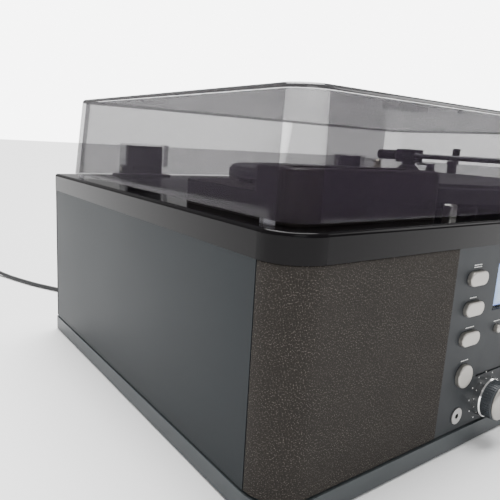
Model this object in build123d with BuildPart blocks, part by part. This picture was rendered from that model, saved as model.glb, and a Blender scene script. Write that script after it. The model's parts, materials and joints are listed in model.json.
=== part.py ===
from build123d import *
from math import cos, pi, radians, sin, sqrt, tan
import os

os.makedirs("parts", exist_ok=True)

# All sizes are in millimetres. +Z is up, the front faces -Y, and the origin is on the surface
# that the feet stand on, under the middle of the cabinet's footprint with its knobs and jacks.

# Cabinet
body_width = 500.0
body_depth = 370.0
panel_top = 149.0
corner_radius = 25.4
foot_height = 1.0
foot_radius = 10.0
foot_pocket = 1.5
foot_inset = 34.0
base_top = 14.0
base_proud = 0.8
base_floor = 3.0
rim_wall = 14.0
ledge_set_back = 2.0
ledge_height = 1.0
side_board = 12.0
rear_board = 5.0
edge_gap = 0.4

# Reach of the knobs in front of the cabinet and of the jacks behind it
knob_reach = 16.5
jack_reach = 9.0

# Loudspeakers
grille_width = 144.8
cloth_thickness = 0.8
baffle_thickness = 10.0
driver_hole_radius = 47.0
driver_x = 85.0
driver_z = 82.0
basket_radius = 53.0
basket_depth = 26.0
basket_wall = 2.0
cone_wall = 1.2
dust_cap_radius = 16.0
magnet_radius = 34.0
magnet_height = 14.0

# Control panel
panel_thickness = 4.0
panel_set_back = 0.6
panel_flange = 16.0
play = 0.3

button_x = 169.0
oval_length = 21.0
oval_height = 10.0
oval_rows = (127.0, 105.7, 84.3)
round_button_z = 56.6
round_button_radius = 8.5
small_button_x = 205.0
small_button_z = 85.7
small_button_radius = 3.0
button_proud = 3.0
button_lip = 1.2
button_lip_thickness = 1.5

window_left = 196.0
window_bottom = 100.5
window_height = 34.5
window_thickness = 2.0
window_set_back = 0.4
display_margin = 4.0
display_depth = 7.0

jack_x = 168.0
jack_z = 26.1
jack_ring_radius = 6.0
jack_bore_radius = 1.8
jack_length = 16.0

knob_x = 201.0
knob_z = 34.0
ring_radius = 15.0
ring_length = 6.0
knob_radius = 14.0
cap_radius = 13.2
cap_length = 3.0
knob_shaft_radius = 3.0
knob_shaft_length = 14.0
pot_radius = 8.0
running_fit = 0.05

# Disc tray and its mechanism
tray_front_width = 126.0
tray_front_bottom = 52.0
tray_front_height = 22.0
tray_front_thickness = 5.0
tray_width = 124.0
tray_depth = 136.0
tray_thickness = 6.0
tray_floor_z = 56.0
disc_recess_radius = 60.6
disc_recess_depth = 3.0
tray_slot_width = 44.0
tray_gap = 0.4
chassis_wall = 1.6
chassis_height = 34.0
chassis_bottom = 44.0
leg_radius = 4.0
hub_radius = 8.0
hub_shaft_radius = 1.5

# Deck
deck_top = panel_top + 16.7
deck_proud = 0.5
skirt_wall = 3.0
deck_plate = 3.0
deck_edge = 2.5

# Platter and drive
platter_x = body_width / 2
platter_y = 165.0
platter_radius = 145.0
platter_bottom = deck_top + 6.8
platter_top = deck_top + 18.3
platter_web = 4.0
platter_rim = 4.0
mat_radius = 142.0
mat_thickness = 2.5
drive_ring_radius = 95.0
drive_ring_wall = 4.0
drive_ring_bottom = deck_top + 2.8
hub_boss_radius = 13.0
spindle_radius = 3.5
shaft_radius = 4.0
spindle_top = deck_top + 33.3
spindle_bottom = deck_top - 19.7
bearing_radius = 9.0
bearing_bottom = deck_top - 22.7
belt_width = 4.0
belt_thickness = 0.8
belt_z = deck_top + 5.3
belt_gap = 0.3
pulley_radius = 5.5
pulley_distance = 121.0
pulley_bearing = 135.0
motor_radius = 17.0
motor_height = 20.0
motor_shaft_radius = 1.0

# Cassette housing at the front left of the deck
housing_x = 16.4
housing_y = 16.4
housing_width = 126.6
housing_depth = 42.5
housing_top = deck_top + 30.3
housing_corner = 10.0
step_width = 82.5
step_end_y = 135.0
step_top = deck_top + 15.8
slot_width = 104.0
slot_depth = 14.0
slot_bottom = deck_top - 25.7
slot_wall = 2.0
key_width = 26.0
key_depth = 14.0
key_proud = 3.0
key_travel = 2.0

# Speed switch
switch_x = 161.0
switch_y = 22.0
switch_slot = 16.0
switch_travel = 10.0
switch_top = deck_top + 8.8

# Tonearm
pivot_x = body_width - 70.0
pivot_y = 265.0
arm_z = deck_top + 37.8
arm_length = 220.0
tube_radius = 3.2
base_radius = 27.0
base_neck_radius = 9.0
base_height = 26.0
yoke_length = 28.0
yoke_width = 24.0
yoke_height = 14.0
yoke_wall = 3.0
pivot_pin_radius = 1.6
swing_shaft_radius = 4.0
weight_radius = 6.5
weight_length = 30.0
weight_start = 20.0
shell_length = 34.0
shell_width = 17.0
shell_thickness = 3.0
cartridge_length = 18.0
cartridge_width = 13.0
stylus_clearance = 0.3
record_thickness = 1.8
rest_y = 200.0
rest_radius = 5.5
rest_top = deck_top + 49.3
lift_y = 232.0
lift_travel = 5.0
lift_radius = 3.0
lever_length = 24.0
lever_radius = 1.5

# Lid
lid_inset_x = 8.0
lid_front = 8.0
lid_back = body_depth - 21.0
lid_bottom = deck_top + 3.0
lid_top = deck_top + 73.0
lid_draft = 6.0
lid_wall = 3.0
lid_corner = 20.0
bumper_length = 12.0
bumper_y = 30.0

# Lid hinges
hinge_x = 90.0
hinge_axis_y = body_depth - 9.0
hinge_axis_z = deck_top + 6.9
hinge_pin_radius = 2.0
barrel_radius = 4.5
leaf_width = 22.0
socket_width = 52.0
socket_bottom = deck_top + 10.8
socket_top = deck_top + 34.3
socket_depth = 9.0
socket_wall = 1.8
tongue_width = 40.0
hinge_base_width = 60.0
hinge_base_thickness = 2.0
knuckle_width = 12.0

# Rear connections and electronics
terminal_x = body_width - 120.0
terminal_z = 60.0
terminal_width = 110.0
terminal_height = 34.0
terminal_thickness = 2.0
rca_radius = 4.15
rca_bore_radius = 1.7
rca_spacing = 22.0
screw_head_radius = 3.6
screw_head_height = 2.0
screw_shank_radius = 1.5
screw_length = 18.0
board_thickness = 1.6
board_standoff = 8.0

# Mains cord
cord_radius = 2.5
cord_exit_x = 120.0
cord_exit_z = 26.0
relief_length = 30.0
relief_root_radius = 4.6
relief_tip_radius = 3.4
coil_mid_radius = 28.0
coil_turns_high = 3
coil_turns_wide = 2


front_y = -(body_depth + knob_reach + jack_reach) / 2 + knob_reach
back_y = front_y + body_depth
half_width = body_width / 2
board_bottom = base_top + ledge_height
floor_top = foot_height + base_floor
deck_under = deck_top - deck_plate
board_height = panel_top - board_bottom


def from_left(distance):
    return distance - half_width


def from_front(distance):
    return front_y + distance


def upright(distance):
    """An upright plane facing the front, this far behind the front; its local y is the height."""
    return Plane.XZ.offset(-from_front(distance))


def finish(piece, name):
    piece.part.label = name
    export_step(piece.part, f"parts/{name}.step")


def outline(inset, rear_radius=3.0):
    """The cabinet's outline in plan, moved in by an inset: large front corners, small rear ones."""
    with BuildSketch(mode=Mode.PRIVATE) as plan:
        with Locations((0, (front_y + back_y) / 2)):
            Rectangle(body_width - 2 * inset, body_depth - 2 * inset)
        fillet(plan.vertices().group_by(Axis.Y)[-1], radius=rear_radius)
        fillet(plan.vertices().group_by(Axis.Y)[0], radius=corner_radius - inset)
    return plan.sketch


def corner_band(outer_inset, inner_inset, side):
    """The stretch of wall behind one grille, which turns round the front corner."""
    with BuildSketch(mode=Mode.PRIVATE) as band:
        add(outline(outer_inset))
        add(outline(inner_inset), mode=Mode.SUBTRACT)
        with Locations((-side * half_width, front_y)):
            corner = (Align.MIN if side > 0 else Align.MAX, Align.MIN)
            Rectangle(grille_width, corner_radius, align=corner, mode=Mode.INTERSECT)
    return band.sketch


# Base tray: a floor with a rim that stands proud of the cabinet, and a ledge that carries the boards
foot_places = [
    (side * (half_width - foot_inset), y)
    for side in (-1, 1)
    for y in (front_y + foot_inset, back_y - foot_inset)
]
with BuildPart() as base_tray:
    with BuildSketch(Plane.XY.offset(foot_height)):
        add(outline(-base_proud))
    extrude(amount=base_top - foot_height)
    with BuildSketch(Plane.XY.offset(base_top)):
        add(outline(ledge_set_back))
    extrude(amount=ledge_height)
    with BuildSketch(Plane.XY.offset(floor_top)):
        add(outline(rim_wall))
    extrude(amount=board_bottom, mode=Mode.SUBTRACT)
    with BuildSketch(Plane.XY.offset(foot_height)):
        with Locations(*foot_places):
            Circle(foot_radius + play)
    extrude(amount=foot_pocket, mode=Mode.SUBTRACT)
finish(base_tray, "base_tray")

with BuildPart() as feet:
    with BuildSketch():
        with Locations(*foot_places):
            Circle(foot_radius)
    extrude(amount=foot_height + foot_pocket)
finish(feet, "feet")

# Side boards, rear panel and the screws that join them
screw_places = [
    (side * (half_width - side_board / 2), z)
    for side in (-1, 1)
    for z in (
        board_bottom + 0.12 * board_height,
        board_bottom + board_height / 2,
        panel_top - 0.12 * board_height,
    )
]
side_length = body_depth - corner_radius - rear_board
with BuildPart() as side_boards:
    with BuildSketch(Plane.XY.offset(board_bottom)):
        with Locations((-half_width, from_front(corner_radius))):
            Rectangle(side_board, side_length, align=(Align.MIN, Align.MIN))
        with Locations((half_width, from_front(corner_radius))):
            Rectangle(side_board, side_length, align=(Align.MAX, Align.MIN))
    extrude(amount=board_height)
    with BuildSketch(upright(body_depth - rear_board)):
        with Locations(*screw_places):
            Circle(screw_shank_radius)
    extrude(amount=screw_length - rear_board + play, mode=Mode.SUBTRACT)
finish(side_boards, "side_boards")

terminal_at = (from_left(terminal_x), terminal_z)
vent_at = (from_left(body_width / 2), panel_top - 32.0)
with BuildPart() as rear_panel:
    with BuildSketch(upright(body_depth)):
        with Locations((0, (board_bottom + panel_top) / 2)):
            Rectangle(body_width - 2 * edge_gap, board_height - 2 * edge_gap)
        with Locations(*screw_places):
            Circle(screw_shank_radius + play / 2, mode=Mode.SUBTRACT)
        with Locations(terminal_at):
            Rectangle(terminal_width - 12.0, terminal_height - 12.0, mode=Mode.SUBTRACT)
        with Locations((from_left(cord_exit_x), cord_exit_z)):
            Circle(relief_root_radius, mode=Mode.SUBTRACT)
        with Locations(vent_at):
            with GridLocations(9.0, 0, 12, 1):
                SlotOverall(30.0, 3.0, rotation=90, mode=Mode.SUBTRACT)
    extrude(amount=rear_board)
finish(rear_panel, "rear_panel")

with BuildPart() as rear_screws:
    with BuildSketch(upright(body_depth)):
        with Locations(*screw_places):
            Circle(screw_head_radius)
    extrude(amount=-screw_head_height)
    with BuildSketch(upright(body_depth)):
        with Locations(*screw_places):
            Circle(screw_shank_radius)
    extrude(amount=screw_length)
finish(rear_screws, "rear_screws")

# Rear terminal plate with its pin sockets
with BuildPart() as rear_terminals:
    with BuildSketch(upright(body_depth)):
        with Locations(terminal_at):
            RectangleRounded(terminal_width, terminal_height, 3.0)
            with GridLocations(rca_spacing, 0, 4, 1):
                Circle(rca_radius, mode=Mode.SUBTRACT)
    extrude(amount=-terminal_thickness)
    with BuildSketch(upright(body_depth)):
        with Locations(terminal_at):
            with GridLocations(rca_spacing, 0, 4, 1):
                Circle(rca_radius)
                Circle(rca_bore_radius, mode=Mode.SUBTRACT)
    extrude(amount=-jack_reach)
finish(rear_terminals, "rear_terminals")

# Speaker baffles, drivers and the grille cloths stretched over them
with BuildPart() as speaker_baffles:
    with BuildSketch(Plane.XY.offset(board_bottom)):
        for side in (-1, 1):
            add(corner_band(cloth_thickness, cloth_thickness + baffle_thickness, side))
    extrude(amount=board_height)
    with BuildSketch(upright(0)):
        for side in (-1, 1):
            with Locations((side * from_left(driver_x), driver_z)):
                Circle(driver_hole_radius)
    extrude(amount=-corner_radius, mode=Mode.SUBTRACT)
finish(speaker_baffles, "speaker_baffles")

for side, name in ((1, "grille_cloth_left"), (-1, "grille_cloth_right")):
    with BuildPart() as grille_cloth:
        with BuildSketch(Plane.XY.offset(board_bottom)):
            add(corner_band(0, cloth_thickness, side))
        extrude(amount=board_height)
    finish(grille_cloth, name)

driver_depth = cloth_thickness + baffle_thickness


def driver_plane(side):
    """A level plane through a driver's axis: local x is the radius, local y the depth behind the baffle."""
    return Plane(origin=(side * from_left(driver_x), from_front(driver_depth), driver_z), z_dir=(0, 0, 1))


def driver_axis(side):
    return Axis((side * from_left(driver_x), 0, driver_z), (0, 1, 0))


coil_hole = dust_cap_radius - 3.5
with BuildPart() as speaker_drivers:
    for side in (-1, 1):
        with BuildSketch(driver_plane(side)):
            rim = driver_hole_radius - 1.5
            with BuildLine():
                Polyline(
                    (rim - basket_wall, 0),
                    (basket_radius, 0),
                    (basket_radius, basket_wall),
                    (rim, basket_wall),
                    (magnet_radius - 5.0, basket_depth),
                    (coil_hole, basket_depth),
                    (coil_hole, basket_depth - basket_wall),
                    (magnet_radius - 5.0 - basket_wall, basket_depth - basket_wall),
                    close=True,
                )
            make_face()
        revolve(axis=driver_axis(side))
        with BuildSketch(driver_plane(side)):
            with Locations((0, basket_depth + play)):
                Rectangle(magnet_radius, magnet_height, align=(Align.MIN, Align.MIN))
        revolve(axis=driver_axis(side))
finish(speaker_drivers, "speaker_drivers")

cone_depth = 15.0
with BuildPart() as speaker_cones:
    for side in (-1, 1):
        with BuildSketch(driver_plane(side)):
            edge = driver_hole_radius - 1.5 - basket_wall - 1.8
            with BuildLine():
                Polyline(
                    (0, 8.0),
                    (0.6 * dust_cap_radius, 9.6),
                    (dust_cap_radius - 2.5, 13.0),
                    (edge - 4.0, 0.6),
                    (edge, 0.6),
                    (edge, 0.6 + cone_wall),
                    (edge - 3.6, 0.6 + cone_wall),
                    (dust_cap_radius - 2.5, cone_depth),
                    (0.5 * dust_cap_radius, 10.9),
                    (0, 8.0 + cone_wall),
                    close=True,
                )
            make_face()
        revolve(axis=driver_axis(side))
finish(speaker_cones, "speaker_cones")

# Control panel between the grilles, with an opening for each control
panel_width = body_width - 2 * grille_width
panel_front = panel_set_back
panel_back = panel_front + panel_thickness
middle_z = (board_bottom + panel_top) / 2
window_width = body_width - 2 * window_left
window_middle = window_bottom + window_height / 2
tray_front_middle = tray_front_bottom + tray_front_height / 2
button_x_right = body_width - button_x
knob_x_right = body_width - knob_x
knob_places = [(from_left(x), knob_z) for x in (knob_x, knob_x_right)]
board_depth = panel_back + board_thickness + 2.8
post_places = [
    (from_left(x), (oval_rows[row] + oval_rows[row + 1]) / 2)
    for x in (button_x, button_x_right)
    for row in (0, 1)
]

# name, distance from the left, height, length and height of the cap
buttons = []
for row_z, left_name, right_name in zip(
    oval_rows,
    ("source_button", "disc_button", "radio_button"),
    ("play_button", "stop_button", "skip_button"),
):
    buttons.append((left_name, button_x, row_z, oval_length, oval_height))
    buttons.append((right_name, button_x_right, row_z, oval_length, oval_height))
round_size = 2 * round_button_radius
buttons.append(("record_button", button_x, round_button_z, round_size, round_size))
buttons.append(("power_button", button_x_right, round_button_z, round_size, round_size))
small_size = 2 * small_button_radius
buttons.append(("display_button", small_button_x, small_button_z, small_size, small_size))


def cap_outline(length, height, margin):
    """A stadium, or a circle where the cap is as long as it is high, grown by a margin."""
    if length > height:
        return SlotOverall(length + 2 * margin, height + 2 * margin)
    return Circle(height / 2 + margin)


with BuildPart() as control_panel:
    with BuildSketch(upright(panel_back)):
        with Locations((0, middle_z)):
            Rectangle(panel_width, board_height)
        for name, x, z, length, height in buttons:
            with BuildSketch(mode=Mode.PRIVATE) as hole:
                cap_outline(length, height, play)
            add(hole.sketch.moved(Location((from_left(x), z))), mode=Mode.SUBTRACT)
        with Locations((0, window_middle)):
            Rectangle(window_width - 3.0, window_height - 3.0, mode=Mode.SUBTRACT)
        with Locations((0, tray_front_middle)):
            Rectangle(tray_front_width + 2 * tray_gap, tray_front_height + 2 * tray_gap, mode=Mode.SUBTRACT)
        with Locations(*knob_places):
            Circle(knob_shaft_radius + play, mode=Mode.SUBTRACT)
        with Locations((from_left(jack_x), jack_z)):
            Circle(jack_ring_radius - 1.0, mode=Mode.SUBTRACT)
    extrude(amount=panel_thickness)
    with BuildSketch(upright(panel_front)):
        with Locations((0, window_middle)):
            Rectangle(window_width + edge_gap, window_height + edge_gap)
    extrude(amount=-(window_set_back + window_thickness), mode=Mode.SUBTRACT)
    with BuildSketch(upright(panel_back)):
        for side in (-1, 1):
            with Locations((side * (panel_width / 2), middle_z)):
                flange = (Align.MAX if side > 0 else Align.MIN, Align.CENTER)
                Rectangle(2.0, board_height, align=flange)
    extrude(amount=-(panel_flange - panel_thickness))
    with BuildSketch(upright(panel_back)):
        with Locations(*post_places):
            Circle(2.2)
    extrude(amount=-(board_depth - panel_back))
finish(control_panel, "control_panel")

with BuildPart() as display_window:
    with BuildSketch(upright(panel_front + window_set_back)):
        with Locations((0, window_middle)):
            Rectangle(window_width, window_height)
    extrude(amount=-window_thickness)
finish(display_window, "display_window")

with BuildPart() as display_module:
    with BuildSketch(upright(panel_back)):
        with Locations((0, window_middle)):
            Rectangle(window_width - 2 * display_margin, window_height - 2 * display_margin)
    extrude(amount=-display_depth)
    with BuildSketch(upright(panel_back)):
        with Locations((0, window_middle)):
            Rectangle(window_width - 3.6, window_height - 3.6)
    extrude(amount=panel_thickness - window_set_back - window_thickness - play)
finish(display_module, "display_module")

# Headphone socket: a ring on the panel, a barrel through it and a blind bore
with BuildPart() as headphone_socket:
    with BuildSketch(upright(panel_front)):
        with Locations((from_left(jack_x), jack_z)):
            Circle(jack_ring_radius)
    extrude(amount=0.8)
    with BuildSketch(upright(panel_front)):
        with Locations((from_left(jack_x), jack_z)):
            Circle(jack_ring_radius - 1.0)
    extrude(amount=-panel_thickness)
    with BuildSketch(upright(panel_back)):
        with Locations((from_left(jack_x), jack_z)):
            Rectangle(2 * jack_ring_radius, 2 * jack_ring_radius)
    extrude(amount=-(jack_length - panel_thickness))
    with BuildSketch(upright(panel_front - 0.8)):
        with Locations((from_left(jack_x), jack_z)):
            Circle(jack_bore_radius)
    extrude(amount=-jack_length, mode=Mode.SUBTRACT)
finish(headphone_socket, "headphone_socket")

# Push buttons: a cap through the panel with a lip behind it
for name, x, z, length, height in buttons:
    with BuildPart() as button:
        with BuildSketch(Plane.XZ) as cap:
            cap_outline(length, height, 0)
        extrude(amount=button_proud)
        fillet(button.faces().sort_by(Axis.Y)[0].edges(), radius=0.9)
        with BuildSketch(Plane.XZ):
            cap_outline(length, height, 0)
        extrude(amount=-(panel_thickness + play))
        with BuildSketch(Plane.XZ.offset(-(panel_thickness + play))):
            cap_outline(length, height, button_lip)
        extrude(amount=-button_lip_thickness)
    button.part.position = (from_left(x), from_front(panel_front), z)
    finish(button, name)

# Knobs: a collar on the panel, a body on its shaft and a domed cap
collar_front = panel_front - ring_length
knob_back = collar_front - play
cap_back = -(knob_reach - cap_length)
shaft_end = panel_back + knob_shaft_length
cap_edge = 0.8
dome_rise = cap_length - cap_edge
dome_sphere = (cap_radius**2 + dome_rise**2) / (2 * dome_rise)
dome_middle = cap_length - dome_sphere + sqrt(dome_sphere**2 - cap_radius**2 / 4)
with BuildPart() as knob_collars:
    with BuildSketch(upright(panel_front)):
        with Locations(*knob_places):
            Circle(ring_radius)
            Circle(knob_shaft_radius + play, mode=Mode.SUBTRACT)
    extrude(amount=ring_length)
    chamfer(knob_collars.faces().sort_by(Axis.Y)[:2].edges().filter_by(
        lambda edge: edge.radius > knob_radius), length=0.8)
finish(knob_collars, "knob_collars")

for name, place in zip(("volume_knob", "jog_knob"), knob_places):
    with BuildPart() as knob:
        with BuildSketch(upright(knob_back)):
            with Locations(place):
                Circle(knob_radius)
        extrude(amount=knob_back - cap_back)
        with BuildSketch(upright(knob_back)):
            with Locations(place):
                Circle(knob_shaft_radius)
        extrude(amount=-(shaft_end - knob_back))
        with BuildSketch(Plane(origin=(place[0], from_front(cap_back), place[1]), z_dir=(0, 0, 1))):
            with BuildLine():
                Line((0, 0), (cap_radius, 0))
                Line((cap_radius, 0), (cap_radius, -cap_edge))
                ThreePointArc((cap_radius, -cap_edge), (cap_radius / 2, -dome_middle), (0, -cap_length))
                Line((0, -cap_length), (0, 0))
            make_face()
        revolve(axis=Axis((place[0], 0, place[1]), (0, 1, 0)))
    finish(knob, name)

# Disc tray, which slides out of the panel, with a recess for the disc and a slot for the drive
tray_front_face = panel_front + 1.0
tray_start = tray_front_face + tray_front_thickness
disc_y = from_front(tray_start + tray_depth / 2)
tray_top = tray_floor_z + tray_thickness
with BuildPart() as disc_tray:
    with BuildSketch(upright(tray_front_face)):
        with Locations((0, tray_front_middle)):
            Rectangle(tray_front_width, tray_front_height)
    extrude(amount=-tray_front_thickness)
    with BuildSketch(Plane.XY.offset(tray_floor_z)):
        with Locations((0, disc_y)):
            Rectangle(tray_width, tray_depth)
    extrude(amount=tray_thickness)
    with BuildSketch(Plane.XY.offset(tray_top)):
        with Locations((0, disc_y)):
            Circle(disc_recess_radius)
    extrude(amount=-disc_recess_depth, mode=Mode.SUBTRACT)
    with BuildSketch(Plane.XY.offset(tray_floor_z)):
        with Locations((0, disc_y - hub_radius - 2.0)):
            Rectangle(tray_slot_width, tray_depth, align=(Align.CENTER, Align.MIN))
    extrude(amount=tray_thickness, mode=Mode.SUBTRACT)
finish(disc_tray, "disc_tray")

# Disc mechanism: a chassis on four legs, runners for the tray, two rods for the pickup and a motor
chassis_front = 8.0
chassis_end = tray_start + tray_depth + 18.0
chassis_half = tray_width / 2 + 4.0
chassis_top = chassis_bottom + chassis_height
chassis_floor = chassis_bottom + chassis_wall
rod_radius = 1.5
rod_spacing = 24.0
rod_z = 50.0
hub_bottom = tray_floor_z - 3.0
hub_top = tray_top - disc_recess_depth + 1.2
bracket_y = disc_y + hub_radius + 1.5
leg_places = [
    (side * (chassis_half - 6.0), from_front(y))
    for side in (-1, 1)
    for y in (chassis_front + 24.0, chassis_end - 10.0)
]
with BuildPart() as disc_mechanism:
    with BuildSketch(Plane.XY.offset(chassis_bottom)):
        with Locations((0, from_front(chassis_front))):
            Rectangle(2 * chassis_half, chassis_end - chassis_front, align=(Align.CENTER, Align.MIN))
    extrude(amount=chassis_top - chassis_bottom)
    with BuildSketch(Plane.XY.offset(chassis_floor)):
        with Locations((0, from_front(chassis_front))):
            cavity_length = chassis_end - chassis_front - chassis_wall
            Rectangle(2 * (chassis_half - chassis_wall), cavity_length, align=(Align.CENTER, Align.MIN))
    extrude(amount=chassis_top - chassis_wall - chassis_floor, mode=Mode.SUBTRACT)
    runner_width = chassis_half - chassis_wall - tray_width / 2 + 5.0
    with BuildSketch(Plane.XY.offset(tray_floor_z - play)):
        for side in (-1, 1):
            with Locations((side * (chassis_half - chassis_wall), from_front(chassis_front))):
                runner = (Align.MAX if side > 0 else Align.MIN, Align.MIN)
                Rectangle(runner_width, cavity_length, align=runner)
    extrude(amount=-2.0)
    with BuildSketch(Plane.XY.offset(chassis_floor)):
        with Locations((0, disc_y)):
            Circle(12.0)
    extrude(amount=hub_bottom - play - chassis_floor)
    with BuildSketch(Plane.XY.offset(hub_bottom)):
        with Locations((0, disc_y)):
            Circle(hub_shaft_radius + running_fit)
    extrude(amount=-(hub_bottom - chassis_floor), mode=Mode.SUBTRACT)
    with BuildSketch(Plane.XY.offset(chassis_floor)):
        with Locations((0, bracket_y)):
            Rectangle(rod_spacing + 8.0, 3.0, align=(Align.CENTER, Align.MIN))
    extrude(amount=rod_z + 2.6 - chassis_floor)
    with BuildSketch(Plane.XZ.offset(-bracket_y)):
        with Locations((0, rod_z)):
            with GridLocations(rod_spacing, 0, 2, 1):
                Circle(rod_radius)
    extrude(amount=-(from_front(chassis_end) - bracket_y - chassis_wall / 2))
    with BuildSketch(Plane.XY.offset(floor_top)):
        with Locations(*leg_places):
            Circle(leg_radius)
    extrude(amount=chassis_bottom - floor_top)
finish(disc_mechanism, "disc_mechanism")

with BuildPart() as disc_hub:
    with BuildSketch(Plane.XY.offset(hub_bottom)):
        with Locations((0, disc_y)):
            Circle(hub_radius)
    extrude(amount=hub_top - hub_bottom)
    chamfer(disc_hub.faces().sort_by(Axis.Z)[-1].edges(), length=1.0)
    with BuildSketch(Plane.XY.offset(hub_bottom)):
        with Locations((0, disc_y)):
            Circle(hub_shaft_radius)
    extrude(amount=-(hub_bottom - chassis_floor - play))
finish(disc_hub, "disc_hub")

pickup_start = bracket_y + 3.0 + play
pickup_length = 26.0
with BuildPart() as disc_pickup:
    with BuildSketch(Plane.XY.offset(rod_z - 3.0)):
        with Locations((0, pickup_start)):
            Rectangle(rod_spacing + 8.0, pickup_length, align=(Align.CENTER, Align.MIN))
    extrude(amount=6.0)
    with BuildSketch(Plane.XY.offset(rod_z + 3.0)):
        with Locations((0, pickup_start + 8.0)):
            Circle(5.0)
    extrude(amount=2.6)
    with BuildSketch(Plane.XZ.offset(-pickup_start)):
        with Locations((0, rod_z)):
            with GridLocations(rod_spacing, 0, 2, 1):
                Circle(rod_radius + running_fit)
    extrude(amount=-pickup_length, mode=Mode.SUBTRACT)
finish(disc_pickup, "disc_pickup")

# Top deck: a glossy skirt and plate with the bearing for the platter
pulley_x = from_left(platter_x) + pulley_distance * cos(radians(pulley_bearing))
pulley_y = from_front(platter_y) + pulley_distance * sin(radians(pulley_bearing))
platter_at = (from_left(platter_x), from_front(platter_y))
slot_at = (from_left(housing_x + housing_width / 2), from_front(housing_y + housing_depth / 2))
well_width = slot_width + 2 * slot_wall
well_depth = slot_depth + 2 * slot_wall
switch_at = (from_left(switch_x), from_front(switch_y))
switch_slot_at = (switch_at[0] + switch_travel / 2, switch_at[1])
with BuildPart() as top_deck:
    with BuildSketch(Plane.XY.offset(panel_top)):
        add(outline(-deck_proud))
    extrude(amount=deck_top - panel_top)
    fillet(top_deck.faces().sort_by(Axis.Z)[-1].edges(), radius=deck_edge)
    with BuildSketch(Plane.XY.offset(panel_top)):
        add(outline(skirt_wall))
    extrude(amount=deck_under - panel_top, mode=Mode.SUBTRACT)
    with BuildSketch(Plane.XY.offset(deck_under)):
        with Locations(platter_at):
            Circle(bearing_radius)
    extrude(amount=-(deck_under - bearing_bottom))
    with BuildSketch(Plane.XY.offset(deck_top)):
        with Locations(platter_at):
            Circle(shaft_radius + running_fit)
        with Locations((pulley_x, pulley_y)):
            Circle(pulley_radius + 1.5)
        with Locations(slot_at):
            Rectangle(well_width + 2 * play, well_depth + 2 * play)
        with Locations(switch_slot_at):
            SlotOverall(switch_slot, 3.4)
    extrude(amount=-(deck_top - bearing_bottom), mode=Mode.SUBTRACT)
finish(top_deck, "top_deck")

# Platter: a dished plate with a rim, a drive ring for the belt and a hub
with BuildPart() as platter:
    with BuildSketch(Plane.XY.offset(platter_bottom)):
        with Locations(platter_at):
            Circle(platter_radius)
            Circle(platter_radius - platter_rim, mode=Mode.SUBTRACT)
    extrude(amount=platter_top - platter_bottom)
    with BuildSketch(Plane.XY.offset(platter_top - platter_web)):
        with Locations(platter_at):
            Circle(platter_radius - platter_rim / 2)
    extrude(amount=platter_web)
    with BuildSketch(Plane.XY.offset(drive_ring_bottom)):
        with Locations(platter_at):
            Circle(drive_ring_radius)
            Circle(drive_ring_radius - drive_ring_wall, mode=Mode.SUBTRACT)
            Circle(hub_boss_radius)
    extrude(amount=platter_top - drive_ring_bottom)
    with BuildSketch(Plane.XY.offset(drive_ring_bottom)):
        with Locations(platter_at):
            Circle(shaft_radius)
    extrude(amount=platter_top, mode=Mode.SUBTRACT)
    chamfer(platter.faces().sort_by(Axis.Z)[-1].edges().filter_by(
        lambda edge: edge.radius > mat_radius), length=1.0)
finish(platter, "platter")

mat_top = platter_top + mat_thickness
with BuildPart() as platter_mat:
    with BuildSketch(Plane.XY.offset(platter_top)):
        with Locations(platter_at):
            Circle(mat_radius)
            Circle(shaft_radius, mode=Mode.SUBTRACT)
    extrude(amount=mat_thickness)
finish(platter_mat, "platter_mat")

with BuildPart() as platter_spindle:
    with BuildSketch(Plane.XY.offset(spindle_bottom)):
        with Locations(platter_at):
            Circle(shaft_radius)
    extrude(amount=mat_top - spindle_bottom)
    with BuildSketch(Plane.XY.offset(mat_top)):
        with Locations(platter_at):
            Circle(spindle_radius)
    extrude(amount=spindle_top - mat_top)
    fillet(platter_spindle.faces().sort_by(Axis.Z)[-1].edges(), radius=2.6)
finish(platter_spindle, "platter_spindle")

# Drive: motor under the deck, its pulley and the flat belt round the drive ring
with BuildPart() as drive_motor:
    with BuildSketch(Plane.XY.offset(deck_under)):
        with Locations((pulley_x, pulley_y)):
            Circle(motor_radius)
            Circle(motor_shaft_radius + running_fit, mode=Mode.SUBTRACT)
    extrude(amount=-motor_height)
    chamfer(drive_motor.faces().sort_by(Axis.Z)[0].edges().filter_by(
        lambda edge: edge.radius > motor_shaft_radius + 1.0), length=1.5)
finish(drive_motor, "drive_motor")

pulley_bottom = belt_z - 2.0
with BuildPart() as motor_pulley:
    with BuildSketch(Plane.XY.offset(pulley_bottom)):
        with Locations((pulley_x, pulley_y)):
            Circle(pulley_radius)
    extrude(amount=belt_width + 4.0)
    with BuildSketch(Plane.XY.offset(pulley_bottom)):
        with Locations((pulley_x, pulley_y)):
            Circle(pulley_radius + 1.2)
    extrude(amount=1.0)
    with BuildSketch(Plane.XY.offset(pulley_bottom)):
        with Locations((pulley_x, pulley_y)):
            Circle(motor_shaft_radius)
    extrude(amount=-(pulley_bottom - deck_under + motor_height / 2))
finish(motor_pulley, "motor_pulley")


def belt_loop(gap):
    with BuildSketch(mode=Mode.PRIVATE) as loop:
        with Locations(platter_at):
            Circle(drive_ring_radius + gap)
        with Locations((pulley_x, pulley_y)):
            Circle(pulley_radius + gap)
        make_hull()
    return loop.sketch


with BuildPart() as drive_belt:
    with BuildSketch(Plane.XY.offset(belt_z)):
        add(belt_loop(belt_gap + belt_thickness))
        add(belt_loop(belt_gap), mode=Mode.SUBTRACT)
    extrude(amount=belt_width)
finish(drive_belt, "drive_belt")

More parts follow.
